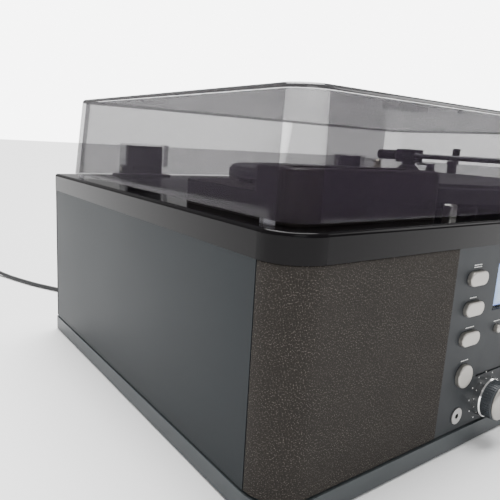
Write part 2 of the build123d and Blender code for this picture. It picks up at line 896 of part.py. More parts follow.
# Cassette housing: a tall front part with a slot for the tape, and a low part behind it with a key
key_at = (
    from_left(housing_x + step_width / 2),
    from_front((housing_y + housing_depth + step_end_y) / 2 + 4.0),
)
key_pocket_bottom = step_top - 9.0
with BuildPart() as cassette_housing:
    with BuildSketch(Plane.XY.offset(deck_top)):
        with Locations((from_left(housing_x), from_front(housing_y))):
            Rectangle(step_width, step_end_y - housing_y, align=(Align.MIN, Align.MIN))
    extrude(amount=step_top - deck_top)
    with BuildSketch(Plane.XY.offset(deck_top)):
        with Locations((from_left(housing_x), from_front(housing_y))):
            Rectangle(housing_width, housing_depth, align=(Align.MIN, Align.MIN))
    extrude(amount=housing_top - deck_top)
    outer_edges = cassette_housing.edges().filter_by(Axis.Z)
    inner_corner = outer_edges.sort_by_distance(
        (from_left(housing_x + step_width), from_front(housing_y + housing_depth), deck_top))[:2]
    corner_edges = [edge for edge in outer_edges if edge not in inner_corner]
    fillet(corner_edges, radius=housing_corner)
    fillet(cassette_housing.faces().sort_by(Axis.Z)[-1].edges(), radius=2.5)
    with BuildSketch(Plane.XY.offset(deck_top)):
        with Locations(slot_at):
            Rectangle(well_width, well_depth)
    extrude(amount=-(deck_top - slot_bottom + slot_wall))
    with BuildSketch(Plane.XY.offset(housing_top)):
        with Locations(slot_at):
            Rectangle(slot_width, slot_depth)
    extrude(amount=-(housing_top - slot_bottom), mode=Mode.SUBTRACT)
    with BuildSketch(Plane.XY.offset(step_top)):
        with Locations(key_at):
            Rectangle(key_width + 2 * play, key_depth + 2 * play)
    extrude(amount=-(step_top - key_pocket_bottom), mode=Mode.SUBTRACT)
finish(cassette_housing, "cassette_housing")

with BuildPart() as cassette_key:
    with BuildSketch(Plane.XY.offset(key_pocket_bottom + key_travel + play)):
        with Locations(key_at):
            Rectangle(key_width, key_depth)
    extrude(amount=step_top + key_proud - key_pocket_bottom - key_travel - play)
    fillet(cassette_key.faces().sort_by(Axis.Z)[-1].edges(), radius=1.0)
finish(cassette_key, "cassette_key")

# Speed switch: a cap above the deck, a stem through its slot and a slider under the plate
with BuildPart() as speed_switch:
    with BuildSketch(Plane.XY.offset(deck_top + play)):
        with Locations(switch_at):
            RectangleRounded(8.0, 7.0, 1.5)
    extrude(amount=switch_top - deck_top - play)
    chamfer(speed_switch.faces().sort_by(Axis.Z)[-1].edges(), length=1.0)
    with BuildSketch(Plane.XY.offset(deck_under - play)):
        with Locations(switch_at):
            Rectangle(3.0, 2.6)
    extrude(amount=deck_plate + 2.5 * play)
    with BuildSketch(Plane.XY.offset(deck_under - play)):
        with Locations(switch_at):
            Rectangle(9.0, 8.0)
    extrude(amount=-2.0)
finish(speed_switch, "speed_switch")

# Tonearm base: a domed pedestal with a bore for the swing shaft, and the lift's own small dome
pivot_at = (from_left(pivot_x), from_front(pivot_y))
lift_at = (from_left(pivot_x) + 2.0, from_front(lift_y))
base_top_z = deck_top + base_height
lift_top = arm_z - tube_radius - play - lift_travel
lift_housing_top = lift_top - 2.3
lever_z = deck_top + 15.0
lever_x = lift_at[0] + 9.0
with BuildPart() as tonearm_base:
    with BuildSketch(Plane(origin=(pivot_at[0], pivot_at[1], 0), x_dir=(1, 0, 0), z_dir=(0, -1, 0))):
        with BuildLine():
            Polyline(
                (0, deck_top),
                (base_radius, deck_top),
                (base_radius, deck_top + 3.0),
                (base_radius - 6.0, deck_top + 4.5),
            )
            ThreePointArc(
                (base_radius - 6.0, deck_top + 4.5),
                (base_neck_radius + 6.4, deck_top + 0.72 * base_height),
                (base_neck_radius, base_top_z),
            )
            Polyline((base_neck_radius, base_top_z), (0, base_top_z), (0, deck_top))
        make_face()
    revolve(axis=Axis((pivot_at[0], pivot_at[1], 0), (0, 0, 1)))
    with BuildSketch(Plane.XY.offset(base_top_z)):
        with Locations(pivot_at):
            Circle(swing_shaft_radius + running_fit)
    extrude(amount=-(base_height - 4.0), mode=Mode.SUBTRACT)
    with BuildSketch(Plane.XY.offset(deck_top)):
        with Locations(lift_at):
            Circle(8.5)
    extrude(amount=lift_housing_top - deck_top, taper=8)
    with BuildSketch(Plane.XY.offset(deck_top)):
        with Locations((lift_at[0] + 5.0, lift_at[1])):
            Rectangle(8.0, 7.0)
    extrude(amount=lever_z + 4.0 - deck_top)
    with BuildSketch(Plane.YZ.offset(lift_at[0] + 5.0)):
        with Locations((lift_at[1], lever_z)):
            Circle(lever_radius)
    extrude(amount=9.0)
    with BuildSketch(Plane.XY.offset(lift_housing_top + 1.0)):
        with Locations(lift_at):
            Circle(lift_radius + running_fit)
    extrude(amount=-(lift_housing_top + 1.0 - deck_top - 3.0), mode=Mode.SUBTRACT)
finish(tonearm_base, "tonearm_base")

with BuildPart() as tonearm_lift:
    with BuildSketch(Plane.XY.offset(deck_top + 4.0)):
        with Locations(lift_at):
            Circle(lift_radius)
    extrude(amount=lift_top - 2.0 - deck_top - 4.0)
    with BuildSketch(Plane.XY.offset(lift_top - 2.0)):
        with Locations((lift_at[0] + 6.0, lift_at[1])):
            Rectangle(32.0, 4.0, align=(Align.MAX, Align.CENTER))
    extrude(amount=2.0)
finish(tonearm_lift, "tonearm_lift")

with BuildPart() as cue_lever:
    with BuildSketch(Plane.YZ.offset(lever_x + play)):
        with Locations((lift_at[1], lever_z)):
            Circle(3.6)
    extrude(amount=4.0)
    with BuildSketch(Plane.XZ.offset(-lift_at[1])):
        with Locations((lever_x + play + 2.0, lever_z)):
            Circle(lever_radius)
    extrude(amount=lever_length)
    with BuildSketch(Plane.YZ.offset(lever_x)):
        with Locations((lift_at[1], lever_z)):
            Circle(lever_radius + running_fit)
    extrude(amount=8.0, mode=Mode.SUBTRACT)
finish(cue_lever, "cue_lever")

# Tonearm yoke: swings on its shaft and carries the arm between two cheeks
yoke_floor = base_top_z + 6.0
with BuildPart() as tonearm_yoke:
    with BuildSketch(Plane.XY.offset(base_top_z + play)):
        with Locations(pivot_at):
            Circle(base_neck_radius)
    extrude(amount=yoke_floor - base_top_z - play)
    with BuildSketch(Plane.XY.offset(base_top_z + play)):
        with Locations(pivot_at):
            Circle(swing_shaft_radius)
    extrude(amount=-(base_height - 5.0))
    with BuildSketch(Plane.XY.offset(yoke_floor - 3.0)):
        with Locations(pivot_at):
            RectangleRounded(yoke_width, yoke_length, 3.0)
    extrude(amount=yoke_height + 3.0)
    with BuildSketch(Plane.XY.offset(yoke_floor)):
        with Locations(pivot_at):
            Rectangle(yoke_width - 2 * yoke_wall, yoke_length)
    extrude(amount=yoke_height, mode=Mode.SUBTRACT)
    with BuildSketch(Plane.YZ.offset(pivot_at[0])):
        with Locations((pivot_at[1], arm_z)):
            Circle(pivot_pin_radius + running_fit)
    extrude(amount=yoke_width / 2, both=True, mode=Mode.SUBTRACT)
finish(tonearm_yoke, "tonearm_yoke")

shell_end = pivot_at[1] - arm_length - 6.0
shell_start = shell_end + shell_length
block_width = yoke_width - 2 * yoke_wall - 2 * play
with BuildPart() as tonearm_tube:
    with BuildSketch(Plane.XZ.offset(-shell_start)):
        with Locations((pivot_at[0], arm_z)):
            Circle(tube_radius)
    extrude(amount=-(pivot_at[1] + weight_start + weight_length - shell_start))
    with BuildSketch(Plane.XZ.offset(-pivot_at[1])):
        with Locations((pivot_at[0], arm_z)):
            RectangleRounded(block_width, 9.0, 2.0)
    extrude(amount=9.0, both=True)
    with BuildSketch(Plane.YZ.offset(pivot_at[0])):
        with Locations((pivot_at[1], arm_z)):
            Circle(pivot_pin_radius)
    extrude(amount=yoke_width / 2, both=True)
finish(tonearm_tube, "tonearm_tube")

with BuildPart() as counterweight:
    with BuildSketch(Plane.XZ.offset(-(pivot_at[1] + weight_start))):
        with Locations((pivot_at[0], arm_z)):
            Circle(weight_radius)
            Circle(tube_radius, mode=Mode.SUBTRACT)
    extrude(amount=-weight_length)
    chamfer(counterweight.faces().sort_by(Axis.Y)[-1].edges().filter_by(
        lambda edge: edge.radius > tube_radius + 1.0), length=0.8)
finish(counterweight, "counterweight")

shell_top = arm_z + shell_thickness / 2
with BuildPart() as headshell:
    with BuildSketch(Plane.XY.offset(shell_top - shell_thickness)):
        with Locations((pivot_at[0], shell_end)):
            Rectangle(shell_width, shell_length, align=(Align.CENTER, Align.MIN))
    extrude(amount=shell_thickness)
    fillet(headshell.edges().filter_by(Axis.Z).group_by(Axis.Y)[0], radius=4.0)
    with BuildSketch(Plane.XY.offset(shell_top - 1.2)):
        with Locations((pivot_at[0] + shell_width / 2 - 1.0, shell_end + 10.0)):
            Rectangle(12.0, 3.0, align=(Align.MIN, Align.CENTER))
    extrude(amount=1.2)
finish(headshell, "headshell")

stylus_at = (pivot_at[0], pivot_at[1] - arm_length)
stylus_tip = mat_top + record_thickness + stylus_clearance
cartridge_top = shell_top - shell_thickness
cartridge_bottom = stylus_tip + 3.4
with BuildPart() as cartridge:
    with BuildSketch(Plane.XY.offset(cartridge_bottom)):
        with Locations((stylus_at[0], stylus_at[1] - 3.0)):
            Rectangle(cartridge_width, cartridge_length, align=(Align.CENTER, Align.MIN))
    extrude(amount=cartridge_top - cartridge_bottom)
    with BuildSketch(Plane.XY.offset(cartridge_bottom)):
        with Locations((stylus_at[0], stylus_at[1] + 3.0)):
            Rectangle(5.0, 9.0)
    extrude(amount=-1.8)
    with BuildSketch(Plane.XY.offset(cartridge_bottom - 1.0)):
        with Locations(stylus_at):
            Circle(1.3)
    extrude(amount=stylus_tip - cartridge_bottom + 1.0, taper=22)
finish(cartridge, "cartridge")

# Arm rest: a post with a shelf for the arm and a tall cheek on its outer side
rest_at = (from_left(pivot_x), from_front(rest_y))
cradle_floor = arm_z - tube_radius - play
cradle_inner = tube_radius + 0.5
with BuildPart() as arm_rest:
    with BuildSketch(Plane.XY.offset(deck_top)):
        with Locations(rest_at):
            Circle(rest_radius + 4.0)
    extrude(amount=3.0)
    with BuildSketch(Plane.XY.offset(deck_top)):
        with Locations(rest_at):
            Circle(rest_radius)
    extrude(amount=cradle_floor - deck_top)
    with BuildSketch(Plane.XZ.offset(-rest_at[1])):
        with BuildLine():
            Polyline(
                (rest_at[0] - cradle_inner - 2.5, cradle_floor - 4.0),
                (rest_at[0] - cradle_inner - 2.5, cradle_floor - 1.0),
                (rest_at[0] - cradle_inner, cradle_floor),
                (rest_at[0] + cradle_inner, cradle_floor),
                (rest_at[0] + cradle_inner, rest_top),
                (rest_at[0] + cradle_inner + 4.0, rest_top),
                (rest_at[0] + cradle_inner + 4.0, cradle_floor - 4.0),
                close=True,
            )
        make_face()
    extrude(amount=4.0, both=True)
finish(arm_rest, "arm_rest")

# Lid: a drafted shell, open below, that closes over the deck
lid_height = lid_top - lid_bottom
lid_middle = (0, from_front((lid_front + lid_back) / 2))
lid_size = (body_width - 2 * lid_inset_x, lid_back - lid_front)


def lid_form(inset, bottom, top):
    """The lid's drafted form, moved in by an inset, between two heights."""
    with BuildPart(mode=Mode.PRIVATE) as form:
        for height in (bottom, top):
            lean = inset + lid_draft * (height - lid_bottom) / lid_height
            with BuildSketch(Plane.XY.offset(height)):
                with Locations(lid_middle):
                    RectangleRounded(lid_size[0] - 2 * lean, lid_size[1] - 2 * lean, lid_corner - inset / 2)
        loft()
    return form.part


with BuildPart() as dust_cover:
    add(lid_form(0, lid_bottom, lid_top))
    fillet(dust_cover.faces().sort_by(Axis.Z)[-1].edges(), radius=3.0)
    add(lid_form(lid_wall, lid_bottom - 1.0, lid_top - lid_wall), mode=Mode.SUBTRACT)
finish(dust_cover, "dust_cover")

# Clear fittings on the lid: the sockets that take the hinge tongues, and the bumpers under its edge
hinge_places = [from_left(hinge_x), from_left(body_width - hinge_x)]
axis_y = from_front(hinge_axis_y)
tongue_front = from_front(lid_back + 1.5)
tongue_back = from_front(lid_back + socket_depth - socket_wall) - 0.4
tongue_bottom = socket_bottom - 0.5
tongue_top = socket_top - socket_wall - 0.4
bumper_places = [
    (side * (half_width - lid_inset_x), from_front(y), side)
    for side in (-1, 1)
    for y in (bumper_y, lid_back - bumper_y)
]
with BuildPart() as lid_fittings:
    with BuildSketch(Plane.XY.offset(socket_bottom)):
        for x in hinge_places:
            with Locations((x, from_front(lid_back + socket_depth))):
                Rectangle(socket_width, socket_depth + 4.0, align=(Align.CENTER, Align.MAX))
    extrude(amount=socket_top - socket_bottom)
    add(lid_form(0, lid_bottom, lid_top), mode=Mode.SUBTRACT)
    with BuildSketch(Plane.XY.offset(socket_bottom)):
        for x in hinge_places:
            with Locations((x, tongue_front - 0.1)):
                pocket_depth = tongue_back - tongue_front + 0.3
                Rectangle(tongue_width + 0.4, pocket_depth, align=(Align.CENTER, Align.MIN))
    extrude(amount=tongue_top + 0.2 - socket_bottom, mode=Mode.SUBTRACT)
    with BuildSketch(Plane.XY.offset(lid_bottom)):
        for x, y, side in bumper_places:
            with Locations((x - side * lid_wall / 2, y)):
                SlotOverall(bumper_length, lid_wall - 0.4, rotation=90)
    extrude(amount=-(lid_bottom - deck_top - play))
finish(lid_fittings, "lid_fittings")

# Hinges: a leaf with its barrel on the lid, a base with two knuckles on the deck, and a pin
with BuildPart() as hinge_leaves:
    for x in hinge_places:
        with BuildSketch(Plane.XY.offset(tongue_bottom)):
            with Locations((x, tongue_front)):
                Rectangle(tongue_width, tongue_back - tongue_front, align=(Align.CENTER, Align.MIN))
        extrude(amount=tongue_top - tongue_bottom)
        with BuildSketch(Plane.YZ.offset(x)):
            with Locations((axis_y, hinge_axis_z)):
                Circle(barrel_radius)
            with BuildLine():
                Polyline(
                    (tongue_front, tongue_bottom + 0.2),
                    (tongue_front, tongue_bottom - 1.0),
                    (axis_y - barrel_radius + 0.4, hinge_axis_z - 1.4),
                    (axis_y, hinge_axis_z),
                    (axis_y - 1.5, hinge_axis_z + barrel_radius - 1.3),
                    (tongue_back, tongue_bottom + 0.2),
                    close=True,
                )
            make_face()
        extrude(amount=leaf_width / 2, both=True)
    for x in hinge_places:
        with BuildSketch(Plane.YZ.offset(x)):
            with Locations((axis_y, hinge_axis_z)):
                Circle(hinge_pin_radius + running_fit)
        extrude(amount=leaf_width, both=True, mode=Mode.SUBTRACT)
finish(hinge_leaves, "hinge_leaves")

knuckle_start = leaf_width / 2 + play
with BuildPart() as hinge_bases:
    for x in hinge_places:
        with BuildSketch(Plane.XY.offset(deck_top)):
            with Locations((x, from_front(lid_back - 1.0))):
                base_depth = body_depth - lid_back - 1.0
                Rectangle(hinge_base_width, base_depth, align=(Align.CENTER, Align.MIN))
        extrude(amount=hinge_base_thickness)
        for side in (-1, 1):
            with BuildSketch(Plane.YZ.offset(x + side * knuckle_start)):
                with Locations((axis_y, hinge_axis_z)):
                    Circle(barrel_radius)
                with Locations((axis_y, deck_top)):
                    Rectangle(2 * barrel_radius, hinge_axis_z - deck_top, align=(Align.CENTER, Align.MIN))
            extrude(amount=side * knuckle_width)
    for x in hinge_places:
        with BuildSketch(Plane.YZ.offset(x)):
            with Locations((axis_y, hinge_axis_z)):
                Circle(hinge_pin_radius)
        extrude(amount=hinge_base_width, both=True, mode=Mode.SUBTRACT)
finish(hinge_bases, "hinge_bases")

with BuildPart() as hinge_pins:
    for x in hinge_places:
        with BuildSketch(Plane.YZ.offset(x)):
            with Locations((axis_y, hinge_axis_z)):
                Circle(hinge_pin_radius)
        extrude(amount=knuckle_start + knuckle_width, both=True)
finish(hinge_pins, "hinge_pins")

# Electronics: the button board, the main board on its standoffs, the transformer and two controls
main_board_at = (from_left(415.0), from_front(250.0))
transformer_at = (from_left(80.0), from_front(260.0))
with BuildPart() as electronics:
    with BuildSketch(upright(board_depth)):
        for x in (button_x, button_x_right):
            with Locations((from_left(x), (oval_rows[0] + round_button_z) / 2)):
                Rectangle(28.0, oval_rows[0] - round_button_z + 22.0)
        with Locations((0, small_button_z)):
            Rectangle(button_x_right - button_x, 9.0)
    extrude(amount=-board_thickness)
    with BuildSketch(Plane.XY.offset(floor_top + board_standoff)):
        with Locations(main_board_at):
            Rectangle(110.0, 150.0)
    extrude(amount=board_thickness)
    with BuildSketch(Plane.XY.offset(floor_top)):
        with Locations(main_board_at):
            with GridLocations(96.0, 136.0, 2, 2):
                Circle(3.5)
    extrude(amount=board_standoff)
    with BuildSketch(Plane.XY.offset(floor_top + board_standoff + board_thickness)):
        with Locations((main_board_at[0] - 20.0, main_board_at[1] + 30.0)):
            Rectangle(40.0, 22.0)
        with Locations((main_board_at[0] + 30.0, main_board_at[1] - 40.0)):
            Circle(11.0)
    extrude(amount=26.0)
    with BuildSketch(Plane.XY.offset(floor_top)):
        with Locations(transformer_at):
            Rectangle(58.0, 48.0)
    extrude(amount=4.0)
    with BuildSketch(Plane.XY.offset(floor_top + 4.0)):
        with Locations(transformer_at):
            Rectangle(52.0, 30.0)
    extrude(amount=40.0)
    with BuildSketch(Plane.XY.offset(floor_top + 9.0)):
        with Locations(transformer_at):
            Rectangle(34.0, 46.0)
    extrude(amount=28.0)
    with BuildSketch(upright(panel_back)):
        with Locations(*knob_places):
            Circle(pot_radius)
    extrude(amount=-(knob_shaft_length + 2.0))
    with BuildSketch(upright(panel_back)):
        with Locations(*knob_places):
            Circle(knob_shaft_radius + running_fit)
    extrude(amount=-(knob_shaft_length + play), mode=Mode.SUBTRACT)
finish(electronics, "electronics")

# Strain relief: a tapered sleeve on the cord where it leaves the rear panel
relief_plane = Plane(origin=(from_left(cord_exit_x), back_y, cord_exit_z), x_dir=(1, 0, 0), z_dir=(0, 1, 0))
with BuildPart() as cord_relief:
    with BuildSketch(relief_plane):
        Circle(relief_root_radius + 2.0)
    extrude(amount=2.5)
    with BuildSketch(relief_plane):
        Circle(relief_root_radius)
    extrude(amount=-rear_board)
    with BuildSketch(relief_plane):
        Circle(relief_root_radius)
    with BuildSketch(relief_plane.offset(relief_length)):
        Circle(relief_tip_radius)
    loft()
finish(cord_relief, "cord_relief")

# Mains cord: from the relief down to the surface and into a coil, then round to the plug.
# Each point is (from the left, behind the back, height).
coil_centre = (262.0, 66.0)
to_coil = [
    (cord_exit_x, relief_length, cord_exit_z),
    (cord_exit_x, 46.0, cord_exit_z),
    (124.0, 64.0, 19.5),
    (134.0, 80.0, 10.5),
    (150.0, 91.0, 4.4),
    (172.0, 96.5, 2.6),
    (198.0, 98.0, 2.5),
    (225.0, 97.4, 2.5),
    (250.0, 96.5, 2.5),
]
to_plug = [
    (264.0, 35.5, 2.5),
    (236.0, 36.5, 2.5),
    (208.0, 40.0, 2.5),
    (180.0, 41.0, 2.5),
    (150.0, 45.5, 2.5),
    (122.0, 54.0, 2.5),
    (96.0, 68.0, 2.5),
    (73.0, 88.0, 2.5),
    (54.0, 113.0, 2.5),
    (38.0, 141.0, 2.5),
    (22.0, 171.0, 2.5),
    (9.0, 203.0, 2.5),
    (-2.0, 235.0, 2.5),
    (-10.0, 258.0, 4.4),
    (-19.0, 279.0, 7.0),
    (-28.5, 298.5, 7.0),
]


def route_points(route):
    return [Vector(from_left(x), back_y + y, z) for x, y, z in route]


def arc_radii(points):
    """Each corner's arc is as large as its two runs allow."""
    radii = []
    for before, corner, after in zip(points, points[1:], points[2:]):
        first = corner - before
        second = after - corner
        turn = radians(first.get_angle(second))
        radii.append(0.45 * min(first.length, second.length) / tan(turn / 2))
    return radii


def cord_tube(route):
    points = route_points(route)
    radii = arc_radii(points)
    print("cord radii", [round(radius) for radius in radii])
    with BuildPart(mode=Mode.PRIVATE) as tube:
        with BuildLine() as path:
            FilletPolyline(*points, radius=radii)
        start = points[1] - points[0]
        with BuildSketch(Plane(origin=points[0], z_dir=start)):
            Circle(cord_radius)
        sweep(path=path.line)
    run = sum(edge.length for edge in path.edges())
    print("cord run", round(run, 1), "volume ratio", round(tube.part.volume / (run * pi * cord_radius**2), 4))
    return tube.part


with BuildPart() as power_cord:
    add(cord_tube(to_coil))
    add(cord_tube(to_plug))
finish(power_cord, "power_cord")

with BuildPart() as cord_coil:
    with BuildSketch():
        with Locations((from_left(coil_centre[0]), back_y + coil_centre[1])):
            Circle(coil_mid_radius + coil_turns_wide * cord_radius)
            Circle(coil_mid_radius - coil_turns_wide * cord_radius, mode=Mode.SUBTRACT)
    extrude(amount=2 * cord_radius * coil_turns_high)
finish(cord_coil, "cord_coil")

# Plug: a tapered body that lies on its flat side, with two blades
plug_start = route_points(to_plug)[-1]
plug_heading = (plug_start - route_points(to_plug)[-2]).normalized()
plug_width = 24.0
plug_height = 14.0
plug_length = 34.0
plug_sleeve = 16.0
blade_length = 16.0
plug_plane = Plane(origin=plug_start, x_dir=plug_heading.cross(Vector(0, 0, 1)), z_dir=plug_heading)
with BuildPart() as power_plug:
    with BuildSketch(plug_plane):
        Circle(cord_radius + 0.9)
    with BuildSketch(plug_plane.offset(plug_sleeve)):
        Circle(cord_radius + 2.2)
    loft()
    with BuildSketch(plug_plane.offset(plug_sleeve)):
        RectangleRounded(0.7 * plug_width, plug_height - 1.0, 4.0)
    with BuildSketch(plug_plane.offset(plug_sleeve + plug_length)):
        RectangleRounded(plug_width, plug_height, 4.0)
    loft()
    with BuildSketch(plug_plane.offset(plug_sleeve + plug_length)):
        with GridLocations(12.7, 0, 2, 1):
            Rectangle(1.5, 6.3)
    extrude(amount=blade_length)
finish(power_plug, "power_plug")
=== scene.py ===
import json
import random
from math import cos, pi, radians, sin

import bmesh
import bpy
from mathutils import Matrix, Vector


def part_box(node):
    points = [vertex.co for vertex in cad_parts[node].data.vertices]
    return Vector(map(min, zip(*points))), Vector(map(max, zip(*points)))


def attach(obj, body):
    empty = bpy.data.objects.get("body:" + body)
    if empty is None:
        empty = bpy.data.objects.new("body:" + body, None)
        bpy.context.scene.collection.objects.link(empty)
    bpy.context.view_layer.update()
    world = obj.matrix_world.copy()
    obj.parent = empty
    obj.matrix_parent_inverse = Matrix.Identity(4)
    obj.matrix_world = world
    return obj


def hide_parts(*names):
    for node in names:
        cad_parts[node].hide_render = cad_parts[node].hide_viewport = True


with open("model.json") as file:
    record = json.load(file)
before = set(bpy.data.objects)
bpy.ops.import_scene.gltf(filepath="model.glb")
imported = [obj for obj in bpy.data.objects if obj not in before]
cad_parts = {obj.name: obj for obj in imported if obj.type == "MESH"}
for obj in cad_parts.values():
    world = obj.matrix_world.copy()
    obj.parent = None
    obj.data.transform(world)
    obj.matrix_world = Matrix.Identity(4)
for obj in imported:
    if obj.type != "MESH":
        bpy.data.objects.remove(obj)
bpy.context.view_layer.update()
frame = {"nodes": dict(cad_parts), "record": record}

mm = 0.001
cadParts = frame["nodes"]


def midOf(node):
    low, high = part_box(node)
    return (low + high) / 2


print("camera")
cameraSet = {
    "place": (-0.41125, -0.36591, 0.20678),
    "yaw": 36.796,      # degrees from straight at the front, turned to the right
    "pitch": 11.378,    # degrees downwards
    "roll": 3.345,
    "lens": 37.96,
    "sensor": 36.0,
}


def addCamera(s):
    yaw, pitch, roll = (radians(s[k]) for k in ("yaw", "pitch", "roll"))
    ahead = Vector((sin(yaw) * cos(pitch), cos(yaw) * cos(pitch), -sin(pitch)))
    level = Vector((cos(yaw), -sin(yaw), 0))
    upward = level.cross(ahead)
    right = level * cos(roll) + upward * sin(roll)
    top = upward * cos(roll) - level * sin(roll)
    data = bpy.data.cameras.new("camera")
    data.lens = s["lens"]
    data.sensor_width = s["sensor"]
    data.clip_start = 0.01
    camera = bpy.data.objects.new("camera", data)
    turn = Matrix((right, top, -ahead)).transposed().to_4x4()
    camera.matrix_world = Matrix.Translation(s["place"]) @ turn
    bpy.context.collection.objects.link(camera)
    bpy.context.scene.camera = camera


addCamera(cameraSet)


class Wire:
    # one output socket, with arithmetic that adds Math nodes
    def __init__(self, paint, socket):
        self.paint = paint
        self.socket = socket

    def math(self, operation, *others):
        sockets = {i: v for i, v in enumerate((self, *others))}
        return self.paint.add("ShaderNodeMath", {"operation": operation}, sockets)

    def __add__(self, other):
        return self.math("ADD", other)

    def __sub__(self, other):
        return self.math("SUBTRACT", other)

    def __mul__(self, other):
        return self.math("MULTIPLY", other)

    def __truediv__(self, other):
        return self.math("DIVIDE", other)

    def __pow__(self, other):
        return self.math("POWER", other)

    def __gt__(self, other):
        return self.math("GREATER_THAN", other)

    def __lt__(self, other):
        return self.math("LESS_THAN", other)

    def __rsub__(self, other):
        return self.paint.add("ShaderNodeMath", {"operation": "SUBTRACT"}, {0: other, 1: self})

    __radd__ = __add__
    __rmul__ = __mul__


class Maker:
    # what a material and a geometry tree share: any node is added by add()
    def begin(self, tree):
        self.nodes = tree.nodes
        self.links = tree.links

    def put(self, socket, value):
        if isinstance(value, Wire):
            self.links.new(value.socket, socket)
        elif hasattr(value, "__len__") and len(value) == 3 and socket.type == "RGBA":
            socket.default_value = (*value, 1)
        else:
            socket.default_value = value

    def add(self, kind, settings=None, sockets=None, out=0):
        node = self.nodes.new(kind)
        for key, value in (settings or {}).items():
            setattr(node, key, value)
        for key, value in (sockets or {}).items():
            self.put(node.inputs[key], value)
        return Wire(self, node.outputs[out])

    def split(self, vector):
        first = self.add("ShaderNodeSeparateXYZ", None, {0: vector})
        return [Wire(self, out) for out in first.socket.node.outputs]


class Paint(Maker):
    def __init__(self, name):
        self.material = bpy.data.materials.new(name)
        self.material.use_nodes = True
        self.begin(self.material.node_tree)
        self.shader = self.nodes["Principled BSDF"]

    def coords(self, kind="Object", scale=(1, 1, 1)):
        source = self.add("ShaderNodeTexCoord", out=kind)
        if scale == (1, 1, 1):
            return source
        return self.add("ShaderNodeMapping", None, {"Vector": source, "Scale": scale})

    def noise(self, vector, scale, detail=3.0, roughness=0.5):
        sockets = {"Vector": vector, "Scale": scale, "Detail": detail, "Roughness": roughness}
        return self.add("ShaderNodeTexNoise", None, sockets, out=0)

    def blend(self, factor, first, second):
        sockets = {0: factor, 6: first, 7: second}
        return self.add("ShaderNodeMix", {"data_type": "RGBA"}, sockets, out=2)

    def bump(self, height, strength, distance):
        sockets = {"Height": height, "Strength": strength, "Distance": distance}
        return self.add("ShaderNodeBump", None, sockets)

    def finish(self, **sockets):
        for key, value in sockets.items():
            self.put(self.shader.inputs[key.replace("_", " ")], value)
        return self.material


def tint(colour, share):
    return tuple(min(1.0, c * share) for c in colour)


print("finishes")


def mouldedPlastic(name, colour, rough=0.45, grain=900.0, depth=0.05, wear=0.12, gloss=0.3):
    p = Paint(name)
    place = p.coords()
    cloud = p.noise(place, 14.0)
    fine = p.noise(place, grain, 2.0)
    smudge = p.noise(place, 45.0, 4.0, 0.6)
    shade = p.blend(cloud, tint(colour, 1 - wear), tint(colour, 1 + wear))
    return p.finish(
        Base_Color=shade,
        Roughness=rough - 0.06 + smudge * 0.12,
        Normal=p.bump(fine, depth, 0.0004),
        Specular_IOR_Level=gloss,
    )


def sideFoil(name, colour):
    # satin foil: long faint streaks over a pebbled grain
    p = Paint(name)
    streak = p.noise(p.coords(scale=(1, 0.12, 1)), 60.0, 4.0)
    pebble = p.add("ShaderNodeTexVoronoi", None, {"Vector": p.coords(), "Scale": 1400.0})
    cloud = p.noise(p.coords(), 7.0)
    mixShare = streak * 0.6 + cloud * 0.4
    return p.finish(
        Base_Color=p.blend(mixShare, tint(colour, 0.86), tint(colour, 1.14)),
        Roughness=0.36 + cloud * 0.1,
        Normal=p.bump(pebble, 0.08, 0.0003),
        Specular_IOR_Level=0.1,
    )


def rubber(name, colour):
    p = Paint(name)
    dust = p.noise(p.coords(), 60.0, 5.0, 0.6)
    fine = p.noise(p.coords(), 1600.0, 2.0)
    return p.finish(
        Base_Color=p.blend(dust, tint(colour, 0.8), tint(colour, 1.7)),
        Roughness=0.52 + dust * 0.2,
        Normal=p.bump(fine, 0.12, 0.0004),
    )


def board(name, colour, rough=0.75):
    p = Paint(name)
    drawn = p.coords(scale=(1, 1, 0.5))
    chips = p.add("ShaderNodeTexVoronoi", None, {"Vector": drawn, "Scale": 420.0})
    cloud = p.noise(p.coords(), 9.0, 5.0)
    return p.finish(
        Base_Color=p.blend(chips * 0.5 + cloud * 0.5, tint(colour, 0.75), tint(colour, 1.3)),
        Roughness=rough,
        Specular_IOR_Level=0.15,
        Normal=p.bump(chips, 0.15, 0.0004),
    )


def brushedMetal(name, colour, rough=0.3, along=(1, 0.02, 1), metal=1.0):
    p = Paint(name)
    hair = p.noise(p.coords(scale=along), 2200.0, 3.0)
    cloud = p.noise(p.coords(), 40.0, 4.0)
    return p.finish(
        Base_Color=p.blend(cloud, tint(colour, 0.9), tint(colour, 1.08)),
        Metallic=metal,
        Roughness=rough - 0.05 + hair * 0.12,
        Normal=p.bump(hair, 0.06, 0.0002),
    )


def clothPaint(name, colour):
    # plain weave on the piece's own UV map, in metres: yarn crowns painted lighter and the hollows between
    # yarns painted darker as shade, with a few bright flecks painted on the crowns as glints
    p = Paint(name)
    pitch = 1.5 * mm
    across, up, _ = p.split(p.coords("UV"))
    turn = 2 * pi / pitch
    warp = (across * turn).math("SINE")
    weft = (up * turn).math("SINE")
    crown = (warp * weft).math("ABSOLUTE")
    fleck = p.noise(p.coords("UV"), 1300.0, 1.0)
    cloud = p.noise(p.coords("UV"), 30.0, 3.0)
    # painted glints: a few bright spots on the yarn crowns, which are also made less rough
    paintedGlint = (fleck > 0.62) * crown
    # painted shade: darker in the hollows between yarns and lighter on the crowns, varied by a random cloud
    # of tone
    body = p.blend(crown * (0.6 + cloud * 0.5), tint(colour, 0.25), tint(colour, 1.25))
    return p.finish(
        Base_Color=p.blend(paintedGlint, body, tint(colour, 4.2)),
        Roughness=0.82 - paintedGlint * 0.3,
        Normal=p.bump(crown, 0.4, 0.0005),
        Specular_IOR_Level=0.2,
    )


